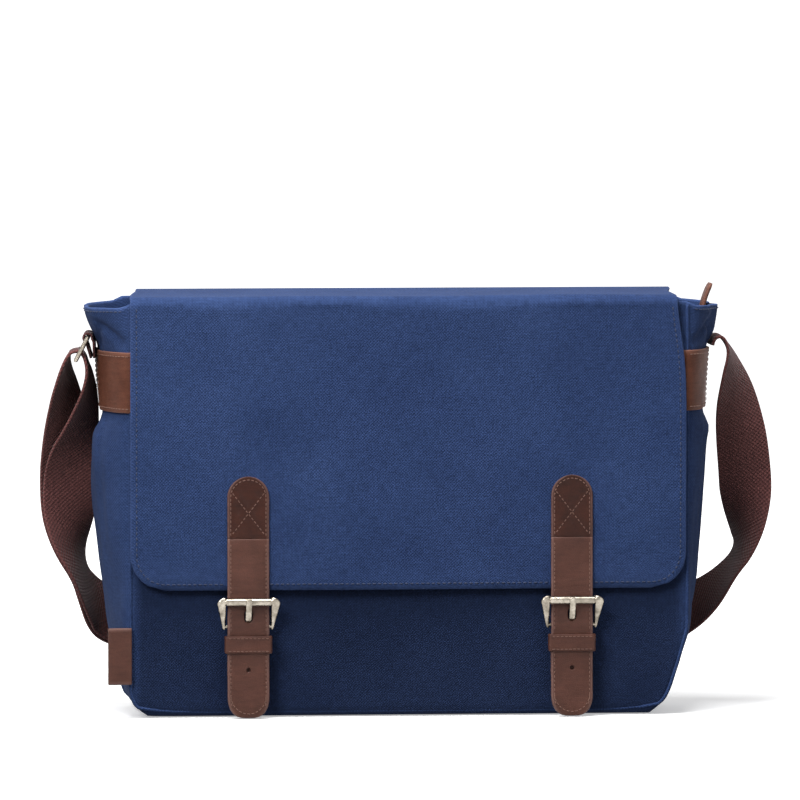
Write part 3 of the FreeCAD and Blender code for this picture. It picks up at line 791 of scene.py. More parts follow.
def flap_soft(x, place, on_front):
    """How far the cloth stands out from the flat flap there."""
    if not on_front:
        ends = ease((HALF_D - 6 * MM - place.y) / (20 * MM)) * ease((place.y + HALF_D) / (12 * MM))
        sag = -1.6 * MM * math.cos(x / FLAP_HALF * math.pi / 2) * ends
        return sag * 0.6 + wave(x * 13, place.y * 9, 0, 6) * 1.0 * MM * ease(
            (HALF_D - place.y) / (12 * MM)) * 0.8
    clear = 1 - near_straps(x, place.z)
    broad = wave(x * 7, place.z * 9, 0, 7) * 1.1 * MM
    fine = wave(x * 22, place.z * 30, 0, 8) * 0.35 * MM
    edge_gap = min(FLAP_HALF - abs(x), place.z - FLAP_LOW.z)
    hem = 0.35 * MM * (1 - ease((edge_gap - 6 * MM) / (3 * MM)))
    along = x if edge_gap < FLAP_HALF - abs(x) else place.z
    pucker = (math.sin(along * math.tau / (8.0 * MM)) * 0.22 + wave(along * 90, 0, 0, 9) * 0.2
              - 0.25) * MM * hump(edge_gap - 4.3 * MM, 2.2 * MM)
    lip = 0.9 * MM * math.cos(x * 21) * math.exp(-(place.z - FLAP_LOW.z) / (18 * MM))
    lift = (broad + fine + lip) * clear
    return min(lift + hem * clear + pucker * clear, 1.6 * MM) - 0.15 * MM


def flap_frames():
    """Centre, out direction and whether it is on the front, for each station of the flap."""
    line = flap_path()
    frames = []
    for i, place in enumerate(line):
        on_front = place.y < FLAP_LOW.y + FLAP_T and place.z < FLAP_HIGH.z - FOLD_R
        frames.append((place, heading(line, i).cross(RIGHT), on_front))
    return frames


def flap_narrow(x, z, y):
    """The flap is drawn in at the fold's right end, and on the left towards the hinge."""
    at_fold = hump(z - FLAP_HIGH.z, 38 * MM) * ease((HALF_D - y) / (HALF_D))
    behind = ease((y + HALF_D) / (2 * HALF_D))
    drawn = max(0.0, x / FLAP_HALF) ** 3 * 6.5 * MM * at_fold
    left = 0.5 - 0.5 * x / FLAP_HALF
    return x - drawn + left * (11.0 * behind - 1.5) * MM


def flap_point(x, station, out_by):
    place, out, on_front = station
    spot = place + out * (flap_soft(x, place, on_front) + out_by)
    return Vector((flap_narrow(x, place.z, place.y), spot.y, spot.z))


def make_flap():
    frames = flap_frames()
    for name, inset, thick, out_by, used, nodes, material, slot in (
            ("flap", 0.0, FLAP_T, 0.0, frames, ("flap_outer", "flap_rear_hem"), CANVAS, "canvas"),
            ("flap_backing", 4 * MM, 0.9 * MM, -1.65 * MM, frames[16:-1], ("flap_lining",),
             LINING, "lining_cloth")):
        rings, wear_and_highlight = [], []
        for i, station in enumerate(used):
            place, on_front = station[0], station[2]
            half = flap_half(place.z, on_front) - inset
            slim = (0.35, 0.8, 1.0)[min(i, len(used) - 1 - i, 2)]
            ring, worn_and_lit = [], []
            for a, b in section(half, thick * slim, 120):
                ring.append(flap_point(a, station, out_by + b))
                gap = min(half - abs(a), place.z - FLAP_LOW.z if on_front else 1)
                worn_and_lit.append(max(0.0, 1 - gap / (1.3 * MM)) * 0.55 if not inset else 0.0)
            rings.append(ring)
            wear_and_highlight.append(worn_and_lit)
        sheet = loft(name, rings, material, wear_and_highlight=wear_and_highlight)
        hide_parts(*nodes)
        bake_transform(sheet)


def flap_stitching():
    """Topstitching 4 mm inside the flap's sides and lower edge, and the rear hem's two rows."""
    inset = 4.3 * MM
    lift = FLAP_T / 2 + 0.05 * MM
    face = [f for f in flap_frames() if f[2]]
    runs = []

    def station(z):
        return Vector((0, face[0][0].y, z)), face[4][1], True

    for side in (-1, 1):
        corner = [f for f in face if f[0].z > FLAP_LOW.z + FLAP_CORNER_R]
        line = [flap_point(side * (FLAP_HALF - inset), f, lift) for f in corner]
        r = FLAP_CORNER_R - inset
        for k in range(1, 11):
            t = math.pi / 2 * k / 10
            x = side * (FLAP_HALF - FLAP_CORNER_R + r * math.cos(t))
            z = FLAP_LOW.z + FLAP_CORNER_R - r * math.sin(t)
            line.append(flap_point(x, station(z), lift))
        runs.append((line, FRONT))
    wide = FLAP_HALF - FLAP_CORNER_R
    gap = STRAP_HALF + 1 * MM
    for low, high in ((-wide, -STRAP_X - gap), (-STRAP_X + gap, STRAP_X - gap),
                      (STRAP_X + gap, wide)):
        runs.append(([flap_point(x, station(FLAP_LOW.z + inset), lift)
                      for x in spread(low, high, 60)], FRONT))
    stitches("flap_topstitching", runs, NAVY_THREAD, "flap", "canvas")
    rear = []
    for rise in (3.5 * MM, 24 * MM):
        place = (Vector((0, HEM_HIGH.y - 1.0 * MM, HEM_LOW.z + rise)), BACK, False)
        rear.append(([flap_point(x, place, lift) for x in
                      spread(4 * MM - FLAP_HALF, FLAP_HALF - 4 * MM, 80)], BACK))
    stitches("rear_hem_stitching", rear, NAVY_THREAD, "root", "canvas")


# ---------------------------------------------------------------- closing straps

STRAP_HALF = 15 * MM
STRAP_T = 2.6 * MM
STRAP_TOP, PATCH_FOOT = 129 * MM, 128.4 * MM
SLOT_Z, HOLE_Z = 73.6 * MM, 35.3 * MM       # the prong's slot, and the spare hole
STITCH_IN = 2.4 * MM                        # from a strap's edge to its stitch row
CUT_REACH = 8 * MM                          # how far a punch goes on both sides


def strap_profile(low, high, tip_r, dome):
    """(height, half width) down a strap: a domed or square top and a rounded tip."""
    found = []
    if dome:
        for k in range(13):
            t = math.pi / 2 * k / 12
            found.append((high - STRAP_HALF + STRAP_HALF * math.cos(t),
                          max(0.4 * MM, STRAP_HALF * math.sin(t))))
        start = high - STRAP_HALF
    else:
        found.append((high, STRAP_HALF - 0.3 * MM))
        start = high - 0.6 * MM
        found.append((start, STRAP_HALF))
    end = low + tip_r
    steps = max(2, round((start - end) / (1.5 * MM)))
    found += [(z, STRAP_HALF) for z in spread(start, end, steps)[1:]]
    if tip_r:
        for k in range(1, 11):
            t = math.pi / 2 * k / 10
            found.append((end - tip_r * math.sin(t),
                          max(0.6 * MM, STRAP_HALF * math.cos(t) ** 0.62)))
    return found


def leather_piece(name, x, profile, y_mid, thick, material, shape=None):
    stations = [(Vector((x, y_mid, z)), RIGHT, FRONT, half,
                 thick * (0.55, 0.85, 1.0)[min(i, len(profile) - 1 - i, 2)])
                for i, (z, half) in enumerate(profile)]
    bend = (lambda a, i: shape(a, profile[i][0])) if shape else None
    return strip(name, stations, material, 30, bend, edge_wear_and_highlight=0.8)


def punch(obj, place, radius, rise):
    """Cuts an upright slot, or a round hole where rise is 0, right through a strap."""
    rings = []
    for y in (-CUT_REACH, CUT_REACH):
        ring = []
        for k in range(24):
            t = math.tau * k / 24
            lift = rise / 2 if math.sin(t) >= 0 else -rise / 2
            ring.append(place + Vector((radius * math.cos(t), y, radius * math.sin(t) + lift)))
        rings.append(ring)
    cutter = loft("cutter", rings, LEATHER)
    cut = obj.modifiers.new("punch", "BOOLEAN")
    cut.object = cutter
    cut.solver = "EXACT"
    apply_modifiers(obj)
    bpy.data.objects.remove(cutter)


def edge_rows(profile, x, y_of, low, high):
    """Two stitch rows, one inside each edge, over a range of heights."""
    return [([Vector((x + side * (half - STITCH_IN), y_of(side * (half - STITCH_IN), z), z))
              for z, half in profile if low < z < high and half > STITCH_IN + 1 * MM], FRONT)
            for side in (-1, 1)]


def make_strap(name, x):
    """Closing strap and its anchor patch, with their holes and stitching."""
    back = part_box(name + "_flap_strap")[1].y
    y_strap = back - STRAP_T / 2
    seed = 11 if x < 0 else 23

    def strap_shape(a, z):
        over_bar = 0.9 * MM * hump(z - 65 * MM, 5 * MM)
        tail = 1.3 * MM * ease((34 * MM - z) / (34 * MM))
        cup = -0.35 * MM * (a / STRAP_HALF) ** 2
        soft = wave(a * 60, z * 30, 0, seed) * 0.22 * MM
        groove = -0.28 * MM * hump(abs(a) - STRAP_HALF + STITCH_IN, 0.8 * MM)
        crease = wave(a * 10, z * 210, 0, seed + 5) * 0.30 * MM * ease((z - 88 * MM) / (4 * MM))
        return over_bar + tail + cup * ease((z - 100 * MM) / (20 * MM)) + soft + groove + crease

    profile = strap_profile(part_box(name + "_flap_strap")[0].z, STRAP_TOP, STRAP_HALF, False)
    strap = leather_piece(name + "_closing_strap", x, profile, y_strap, STRAP_T, LEATHER,
                          strap_shape)
    punch(strap, Vector((x, y_strap, SLOT_Z)), 3.0 * MM, 3.6 * MM)
    punch(strap, Vector((x, y_strap, HOLE_Z)), 1.6 * MM, 0.0)
    keep(strap, "flap", "leather", name + "_flap_strap")

    def strap_face(a, z):
        return y_strap - STRAP_T / 2 - strap_shape(a, z) - 0.03 * MM

    runs = []
    for low, high in ((89, 126), (61, 80), (8, 46)):
        runs += edge_rows(profile, x, strap_face, low * MM, high * MM)
    tip = [Vector((x + (STRAP_HALF - STITCH_IN) * math.cos(t), 0,
                   16.6 * MM + 12.7 * MM * math.sin(t)))
           for t in (math.pi + math.pi * k / 24 for k in range(25))]
    for point in tip:
        point.y = strap_face(point.x - x, point.z)
    runs.append((tip, FRONT))
    stitches(name + "_strap_stitching", runs, BROWN_THREAD, "flap", "leather",
             2.2 * MM, 0.9 * MM, 0.32 * MM)
    make_patch(name, x, back, seed)


def make_patch(name, x, back, seed):
    """Domed patch that anchors the strap, cross-stitched and a little wrinkled."""
    thick = 1.8 * MM
    y_mid = back - thick / 2
    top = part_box(name + "_strap_patch")[1].z

    def patch_shape(a, z):
        wrinkle = wave(a * 150 + z * 60, z * 150, 0, seed + 2) * 1.0 * MM
        cross = min(abs(abs(a) - abs(z - 149 * MM) * 0.62), 9 * MM)
        valley = -0.35 * MM * hump(cross, 1.6 * MM) if 133 * MM < z < 165 * MM else 0
        low = ease((z - STRAP_TOP) / (6 * MM))
        return (wrinkle + valley) * low + 0.3 * MM * (1 - (a / STRAP_HALF) ** 2)

    profile = strap_profile(PATCH_FOOT, top, 0.0, True)
    patch = leather_piece(name + "_anchor_patch", x, profile, y_mid, thick, SHADED_PATCH_LEATHER,
                          patch_shape)
    keep(patch, "flap", "leather", name + "_strap_patch")

    def face(a, z):
        return y_mid - thick / 2 - patch_shape(a, z) - 0.03 * MM

    r = STRAP_HALF - STITCH_IN
    rim = [(-r, z) for z in spread(130.5 * MM, top - STRAP_HALF, 12)]
    rim += [(r * math.cos(t), top - STRAP_HALF + r * math.sin(t))
            for t in (math.pi - math.pi * k / 20 for k in range(1, 20))]
    rim += [(-a, z) for a, z in reversed(rim[:13])]
    rows = [rim]
    rows += [[(lean * (-r + 1 * MM + (2 * r - 2 * MM) * k / 24), (132 + 30 * k / 24) * MM)
              for k in range(25)] for lean in (-1, 1)]
    runs = [([Vector((x + a, face(a, z), z)) for a, z in row], FRONT) for row in rows]
    stitches(name + "_patch_stitching", runs, BROWN_THREAD, "flap", "leather",
             2.1 * MM, 1.0 * MM, 0.32 * MM)


def make_holders(name, x):
    """Keeper with its two stitched rows, and the chape behind the strap."""
    low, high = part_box(name + "_keeper")
    centre = (low + high) / 2
    half, deep, r = (high.x - low.x) / 2, (high.y - low.y) / 2, 2.2 * MM
    rings, outline = [], []
    for cx, cy, start in ((half - r, deep - r, 0), (-half + r, deep - r, 90),
                          (-half + r, -deep + r, 180), (half - r, -deep + r, 270)):
        for k in range(7):
            t = math.radians(start + 15 * k)
            outline.append((cx + r * math.cos(t), cy + r * math.sin(t), math.cos(t), math.sin(t)))
    thick = 1.6 * MM
    for px, py, nx, ny in outline:
        ring = []
        for a, b in section((high.z - low.z) / 2, thick, 10):
            soft = wave(px * 60, a * 90, py * 60, 31) * 0.12 * MM
            out = b - thick / 2 + soft
            ring.append(Vector((x + px + nx * out, centre.y + py + ny * out, centre.z + a)))
        rings.append(ring)
    rings.append([point.copy() for point in rings[0]])
    keeper = loft(name + "_keeper_loop", rings, LEATHER, capped=False)
    weld = keeper.modifiers.new("weld", "WELD")
    weld.merge_threshold = 0.01 * MM
    apply_modifiers(keeper)
    keep(keeper, "flap", "leather", name + "_keeper")
    runs = [([Vector((across, low.y - 0.12 * MM, z))
              for across in spread(x - half + r, x + half - r, 20)], FRONT)
            for z in (low.z + 1.7 * MM, high.z - 1.7 * MM)]
    stitches(name + "_keeper_stitching", runs, BROWN_THREAD, "flap", "leather",
             2.1 * MM, 0.9 * MM, 0.28 * MM)
    low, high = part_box(name + "_chape")
    profile = strap_profile(low.z, high.z, 12 * MM, False)
    chape = leather_piece(name + "_chape_strap", x, profile, (low.y + high.y) / 2, 1.9 * MM,
                          LEATHER)
    keep(chape, "flap", "leather", name + "_chape")


def cylinder(name, start, end, radius):
    """Round bar between two points with softly rounded ends."""
    ahead = (end - start).normalized()
    aside = ahead.orthogonal().normalized()
    up = ahead.cross(aside)
    soft = min(radius * 0.3, (end - start).length * 0.2)
    rings = []
    for centre, r in ((start, radius - soft), (start + ahead * soft * 0.3, radius - soft * 0.3),
                      (start + ahead * soft, radius), (end - ahead * soft, radius),
                      (end - ahead * soft * 0.3, radius - soft * 0.3), (end, radius - soft)):
        rings.append(circle(centre, aside, up, r, 24))
    return loft(name, rings, NICKEL)


def fuse(name, pieces, voxel, smooth):
    """Pieces melted into one closed surface, as cast metal."""
    verts, faces = [], []
    for piece in pieces:
        first = len(verts)
        verts += [vertex.co.copy() for vertex in piece.data.vertices]
        faces += [tuple(first + k for k in face.vertices) for face in piece.data.polygons]
        bpy.data.objects.remove(piece)
    return melt(solid(name, verts, faces, NICKEL, False), voxel, smooth)


def make_buckle(name, x):
    """Cast frame with two tapering arms, and the prong bent round its rear bar."""
    roller, hinge = joint_place(name + "_roller_spin"), joint_place(name + "_prong_lift")
    pieces = [cylinder("bar", Vector((x - 17.5 * MM, place.y, place.z)),
                       Vector((x + 17.5 * MM, place.y, place.z)), radius)
              for place, radius in ((roller, 1.7 * MM), (hinge, 1.3 * MM))]
    top, low = roller.z + 3.3 * MM, hinge.z - 2.6 * MM
    for side in (-1, 1):
        rings = []
        for t in spread(0, 1, 26):
            round_top = math.sqrt(max(0.0, 1 - (1 - min(1.0, t / 0.20)) ** 2))
            round_low = math.sqrt(max(0.0, 1 - (1 - min(1.0, (1 - t) / 0.07)) ** 2))
            cap = max(0.12, min(round_top, round_low))
            inner = (16.3 - 0.2 * t) * MM
            outer = inner + (6.3 - 4.4 * max(0.0, t - 0.2) / 0.8) * MM * (0.25 + 0.75 * cap)
            centre = Vector((x + side * (inner + outer) / 2,
                             roller.y + (hinge.y - roller.y) * ease((t - 0.1) / 0.85),
                             top + (low - top) * t))
            half, deep = (outer - inner) / 2, (1.75 - 0.45 * t) * MM * cap
            rings.append([centre + Vector((
                math.copysign(abs(math.cos(a)) ** 0.8, math.cos(a)) * half,
                math.copysign(abs(math.sin(a)) ** 0.8, math.sin(a)) * deep, 0))
                for a in (math.tau * m / 20 for m in range(20))])
        pieces.append(loft("arm", rings, NICKEL))
    frame_piece = fuse(name + "_cast_frame", pieces, 0.3 * MM, 4)
    keep(frame_piece, "flap", "nickel", name + "_buckle_frame")
    make_prong(name, x, roller, hinge)
    for node in ("_roller", "_snap_stud", "_snap_socket"):
        repaint(name + node, NICKEL)


def make_prong(name, x, roller, hinge):
    """Flat bar: an eye round the rear bar, out through the strap's hole and over the roller."""
    eye = 2.3 * MM
    line = [hinge + Vector((0, eye * math.sin(t), -eye * math.cos(t)))
            for t in (math.radians(-120 + 290 * k / 18) for k in range(19))]
    tip = Vector((0, roller.y - 3.85 * MM, roller.z + 0.2 * MM))
    start = line[0]
    line.reverse()
    line += [start.lerp(tip, k / 14) + Vector((0, -0.7 * MM * math.sin(math.pi * k / 14), 0))
             for k in range(1, 15)]
    line += [tip + Vector((0, 0.35 * MM, 1.4 * MM)), tip + Vector((0, 0.9 * MM, 2.3 * MM))]
    stations = []
    for i, place in enumerate(line):
        slim = (0.45, 0.8, 1.0)[min(len(line) - 1 - i, 2)]
        stations.append((Vector((x, place.y, place.z)), RIGHT, RIGHT.cross(heading(line, i)),
                         2.1 * MM * (0.4 + 0.6 * slim), 1.7 * MM * slim))
    keep(strip(name + "_bent_prong", stations, NICKEL, 8), name + "_prong", "nickel",
         name + "_prong")


def repaint(node, material):
    """A CAD piece whose shape is right takes its full material."""
    for slot in frame["nodes"][node].material_slots:
        slot.link = "OBJECT"
        slot.material = material


# ---------------------------------------------------------------- leather trim

def band_point(side, share, z, out):
    """Point on a band's mid-line: -1 in front of the side seam, round the gusset, 1 behind."""
    line = [Vector((side * (HALF_W - 3 * MM), -HALF_D - 1.3 * MM, z)),
            Vector((side * (HALF_W + 1.8 * MM), -HALF_D - 0.6 * MM, z))]
    for k in range(1, 24):
        across = -1 + k / 12
        place = gusset_point(side, across, z)
        ahead = gusset_point(side, across + 0.03, z) - gusset_point(side, across - 0.03, z)
        outward = Vector((ahead.y, -ahead.x, 0)).normalized()
        if outward.x * side < 0:
            outward = -outward
        line.append(place + outward * (1.5 * MM))
    line += [Vector((side * (HALF_W + 1.8 * MM), HALF_D + 0.6 * MM, z)),
             Vector((side * (HALF_W - 3 * MM), HALF_D + 1.3 * MM, z))]
    reach = (share + 1) / 2 * (len(line) - 1)
    k = min(int(reach), len(line) - 2)
    place = line[k].lerp(line[k + 1], reach - k)
    ahead = (line[min(k + 2, len(line) - 1)] - line[max(k - 1, 0)]).normalized()
    outward = Vector((ahead.y, -ahead.x, 0)) * side
    return place + outward * out


def make_bands():
    """Leather bands round the gussets, stitched near their edges."""
    runs = []
    low, high = BAND_LOW.z - 1.0 * MM, BAND_HIGH.z
    thick = 2.0 * MM
    for name, side in SIDES:
        rings, wear_and_highlight = [], []
        outline = section((high - low) / 2, thick, 14)
        for share in spread(-1, 1, 60):
            rings.append([band_point(side, share, (low + high) / 2 + a,
                                     b + wave(share * 3, a * 40, side * 7, 41) * 0.4 * MM)
                          for a, b in outline])
            # Mask on the band's edges, which the leather paints pale: partly rubbing, partly a
            # painted highlight.
            wear_and_highlight.append([0.7 * max(0.0, 1 - ((high - low) / 2 - abs(a)) / (1.5 * MM))
                         for a, b in outline])
        band = loft(name + "_leather_band", rings, TRIM_LEATHER, wear_and_highlight=wear_and_highlight)
        keep(band, "root", "leather", name + "_side_band")
        for z in (low + 3.0 * MM, high - 3.0 * MM):
            runs.append(([band_point(side, share, z, thick / 2 + 0.15 * MM)
                          for share in spread(-0.95, 0.95, 80)], RIGHT * side))
        for share in (-0.2, 0.2):
            runs.append(([band_point(side, share, z, thick / 2 + 0.25 * MM)
                          for z in spread(low + 4 * MM, high - 4 * MM, 20)], RIGHT * side))
    stitches("band_stitching", runs, TAN_THREAD, "root", "leather", 2.6 * MM, 0.9 * MM, 0.3 * MM)


def make_label_tab():
    """Plain leather label folded over the lower left seam."""
    low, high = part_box("label_tab")
    centre = (low + high) / 2
    half = (high.z - low.z) / 2
    stations = []
    steps = 16
    for k, x in enumerate(spread(low.x, high.x, steps)):
        slim = 1 - 0.75 * (1 - ease(k / 1.6)) if k < 2 else 1.0
        lean = 0.8 * MM * (1 - k / steps)
        stations.append((Vector((x, centre.y - lean, centre.z)), UP, FRONT,
                         half - (0.4 * MM if k == 0 else 0), 2.4 * MM * slim))
    tab = strip("folded_label_tab", stations, LEATHER, 20,
                lambda a, i: wave(a * 50, i * 0.2, 0, 51) * 0.25 * MM, edge_wear_and_highlight=0.6)
    keep(tab, "root", "leather", "label_tab")


# ---------------------------------------------------------------- zip

def make_zip():
    """Recessed zip: cloth panels, tapes and two rows of separate interlocking teeth."""
    for name, side in (("front", -1), ("back", 1)):
        low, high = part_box("zip_panel_" + name)
        stations = [(Vector((x, (low.y + high.y) / 2, (low.z + high.z) / 2)),
                     BACK, UP, (high.y - low.y) / 2, 1.2 * MM)
                    for x in spread(low.x, high.x, 40)]
        panel = strip("zip_cloth_" + name, stations, CANVAS, 20,
                      lambda a, i: wave(a * 25, i * 0.22, 0, 61) * 0.9 * MM - 0.8 * MM * math.cos(
                          min(1.0, abs(a) / (20 * MM)) * math.pi / 2))
        keep(panel, "root", "canvas", "zip_panel_" + name)
        low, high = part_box("zip_tape_" + name)
        stations = [(Vector((x, (low.y + high.y) / 2, high.z)), BACK, UP,
                     (high.y - low.y) / 2, 0.8 * MM) for x in spread(low.x, high.x, 30)]
        tape = strip("zip_ribbon_" + name, stations, TAPE, 8)
        keep(tape, "root", "zip_tape", "zip_tape_" + name)
        make_teeth(name, side)
    repaint("zip_stops", NICKEL)
    for node in ("zip_slider", "zip_pull"):
        keep(soften(node, NICKEL, 0.22 * MM, 3), node, "nickel", node)
    make_tail()


def make_teeth(name, side):
    """One row of metal teeth, each a rounded block with its clamp on the tape."""
    low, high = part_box("zip_teeth_" + name)
    inner = low.y if side > 0 else high.y
    outer = high.y if side > 0 else low.y
    pitch = 2.6 * MM
    count = int((high.x - low.x) / pitch)
    verts, faces = [], []
    for k in range(count):
        x = low.x + (k + (0.25 if side < 0 else 0.75)) * pitch
        outline = ((inner, 0.55), (inner + side * 0.8 * MM, 0.85), (outer, 0.55),
                   (outer, -0.55), (inner + side * 0.8 * MM, -0.85), (inner, -0.55))
        first = len(verts)
        for z in (low.z + 0.1 * MM, high.z - 0.1 * MM):
            for y, dx in outline:
                verts.append((x + dx * MM * 0.85, y, z))
        faces += prism_faces(first, 6, 1)
    row = solid("zip_tooth_row_" + name, verts, faces, NICKEL, False)
    bevel = row.modifiers.new("bevel", "BEVEL")
    bevel.width = 0.15 * MM
    bevel.segments = 1
    apply_modifiers(row)
    keep(row, "root", "nickel", "zip_teeth_" + name)


def make_tail():
    """Tape from the zip's right end, up inside the ear, into its leather end tab."""
    low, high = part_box("zip_tail")
    line = [Vector((low.x + (high.x - low.x) * math.sin(t), 0,
                    low.z + 0.6 * MM + (high.z - low.z - 0.6 * MM) * (1 - math.cos(t))))
            for t in (math.pi / 2 * k / 16 for k in range(17))]
    stations = [(place, BACK, BACK.cross(heading(line, i)), 11 * MM, 1.0 * MM)
                for i, place in enumerate(line)]
    keep(strip("zip_tape_tail", stations, TAPE, 10), "root", "zip_tape", "zip_tail")
    low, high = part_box("zip_end_tab")
    foot = Vector((low.x + 1.6 * MM, 0, low.z + 0.4 * MM))
    head = Vector((high.x - 1.8 * MM, 0, high.z - 0.8 * MM))
    stations = []
    out = BACK.cross((head - foot).normalized())
    for k in range(13):
        place = foot.lerp(head, k / 12) - RIGHT * (1.0 * MM * math.sin(math.pi * k / 12))
        slim = (0.6, 0.9, 1.0)[min(k, 12 - k, 2)]
        stations.append((place, BACK, out, 8 * MM - (1 - slim) * 3 * MM, 3.0 * MM * slim))
    keep(strip("zip_leather_tab", stations, TRIM_LEATHER, 12, edge_wear_and_highlight=0.5), "root", "leather",
         "zip_end_tab")


# ---------------------------------------------------------------- shoulder strap

WEB_HALF = 19 * MM
WEB_T = 2.0 * MM
SELVEDGE = 1.4 * MM             # plain edge beside the ribs
RIB_PITCH, RIB_RISE, EDGE_RISE = 2.2 * MM, 0.14 * MM, 0.1 * MM

ROUTE_STEPS = 14                # points between two control points

# The webbing's route in millimetres, with the direction of its width at each point
RIGHT_ROUTE = (
    ((222.2, 0, 263.0), (0, 1, 0)),
    ((222.8, 0, 268.0), (0, 1, 0)),
    ((229.5, 0, 270.0), (0, 1, 0)),
    ((236.4, 1, 259.0), (0.15, 0.98, 0)),
    ((239.8, 2, 238.0), (0.60, 0.80, 0)),
    ((242.4, 5, 218.0), (0.86, 0.50, 0)),
    ((246.6, 9, 191.0), (1, 0.10, 0)),
    ((249.6, 14, 164.0), (1, -0.05, 0)),
    ((250.4, 19, 143.0), (0.80, -0.60, 0)),
    ((249.4, 27, 122.0), (0.42, -0.91, 0)),
    ((246.4, 36, 104.0), (0.03, -0.99, -0.10)),
    ((232.4, 50, 82.5), (0.24, -0.90, -0.36)),
    ((212.0, 60, 66.5), (0.42, -0.62, -0.66)),
    ((190.0, 64, 58.5), (0, 0, -1)),
    ((160.0, 64, 54.0), (0, 0, -1)),
    ((110.0, 64, 48.0), (0, 0, -1)),
    ((38.0, 64, 44.5), (0, 0, -1)),
)
LEFT_ROUTE = (
    ((-38.0, 64, 44.5), (0, 0, -1)),
    ((-110.0, 64, 47.0), (0, 0, -1)),
    ((-160.0, 64, 54.0), (0, 0, -1)),
    ((-190.0, 64, 60.0), (0, 0, -1)),
    ((-208.5, 62, 67.0), (-0.11, -0.10, -0.98)),
    ((-219.0, 54, 76.5), (-0.21, -0.60, -0.77)),
    ((-226.4, 42, 88.0), (-0.20, -0.88, -0.42)),
    ((-231.4, 32, 103.0), (-0.30, -0.94, -0.12)),
    ((-237.0, 25, 123.0), (-0.70, -0.71, 0)),
    ((-239.3, 20, 146.0), (-0.99, -0.12, 0)),
    ((-239.0, 17, 166.0), (-1, -0.05, 0)),
    ((-236.8, 14, 184.0), (-0.92, -0.38, 0)),
    ((-231.0, 10, 203.0), (-0.70, -0.71, 0)),
    ((-226.6, 5, 226.0), (-0.40, -0.92, 0)),
    ((-226.2, 1, 243.0), (-0.16, -0.99, 0)),
    ((-227.2, 0, 251.0), (-0.087, -0.996, 0)),
    ((-229.4, 0, 258.6), (-0.087, -0.996, 0)),
    ((-232.8, 0, 261.0), (-0.087, -0.996, 0)),
)
RETURN_ROUTE = (
    ((-232.4, 0, 260.9), (-0.087, -0.996, 0)),
    ((-237.0, 0, 260.8), (-0.087, -0.996, 0)),
    ((-241.0, 0, 257.6), (-0.087, -0.996, 0)),
    ((-243.4, 1.5, 247.0), (-0.25, -0.97, 0)),
    ((-243.2, 5, 233.0), (-0.52, -0.85, 0)),
    ((-242.0, 10, 216.0), (-0.74, -0.67, 0)),
    ((-241.6, 15, 196.0), (-0.90, -0.43, 0)),
    ((-241.4, 21, 168.0), (-1, -0.05, 0)),
    ((-240.6, 25, 146.0), (-0.99, -0.12, 0)),
    ((-237.6, 31, 122.0), (-0.70, -0.71, 0)),
    ((-231.2, 40, 101.0), (-0.30, -0.94, -0.12)),
    ((-227.2, 49, 85.0), (-0.20, -0.88, -0.42)),
    ((-220.5, 59, 73.0), (-0.21, -0.60, -0.77)),
    ((-208.0, 67, 64.0), (-0.11, -0.10, -0.98)),
    ((-190.0, 68.9, 58.0), (0, 0, -1)),
    ((-160.0, 68.9, 53.0), (0, 0, -1)),
    ((-118.0, 68.9, 48.8), (0, 0, -1)),
    ((-80.0, 68.9, 47.1), (0, 0, -1)),
)


def smooth_line(name, points):
    """Points along the smooth curve that has these control points."""
    curve = bpy.data.curves.new(name, "CURVE")
    curve.dimensions = "3D"
    spline = curve.splines.new("NURBS")
    spline.points.add(len(points) - 1)
    for target, point in zip(spline.points, points):
        target.co = (*point, 1.0)
    spline.order_u = 3
    spline.use_endpoint_u = True
    spline.resolution_u = ROUTE_STEPS
    holder = link(bpy.data.objects.new(name, curve))
    bpy.context.view_layer.update()
    mesh = bpy.data.meshes.new_from_object(holder)
    line = [vertex.co.copy() for vertex in mesh.vertices]
    bpy.data.objects.remove(holder)
    bpy.data.meshes.remove(mesh)
    return line


def webbing(name, route):
    """Ribbed webbing along a route; returns the piece and the line that it follows."""
    points = [Vector(place) * MM for place, across in route]
    edges = [point + Vector(across).normalized() * WEB_HALF
             for point, (place, across) in zip(points, route)]
    line, edge = smooth_line(name + "_line", points), smooth_line(name + "_edge", edges)
    outline = []
    for a, b in section(WEB_HALF, WEB_T, 76):
        ribbed = abs(a) < WEB_HALF - SELVEDGE
        rib = RIB_RISE * math.cos(a * math.tau / RIB_PITCH) if ribbed else EDGE_RISE
        outline.append((a, b + math.copysign(rib, b)))
    rings = []
    for i, (place, rim) in enumerate(zip(line, edge)):
        ahead = heading(line, i)
        across = rim - place
        across = (across - ahead * across.dot(ahead)).normalized()
        out = ahead.cross(across)
        rings.append([place + across * a + out * b for a, b in outline])
    # Mask on the selvedges, which the webbing paints pale: partly fraying, partly a painted
    # highlight.
    wear_and_highlight = [[max(0.0, 1 - (WEB_HALF - abs(a)) / SELVEDGE) for a, b in outline]] * len(rings)
    return loft(name, rings, WEBBING, wear_and_highlight=wear_and_highlight), line


def make_shoulder_strap():
    strap, line = webbing("shoulder_webbing", RIGHT_ROUTE + LEFT_ROUTE)
    back, back_line = webbing("webbing_return", RETURN_ROUTE)
    glide = soften("strap_slider", NICKEL, 0.4 * MM, 5)
    keep(glide, "shoulder_strap", "nickel", "strap_slider")
    for piece, node in ((strap, "shoulder_strap"), (back, "strap_return")):
        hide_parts(node)
        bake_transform(piece)
    make_ring_loop()


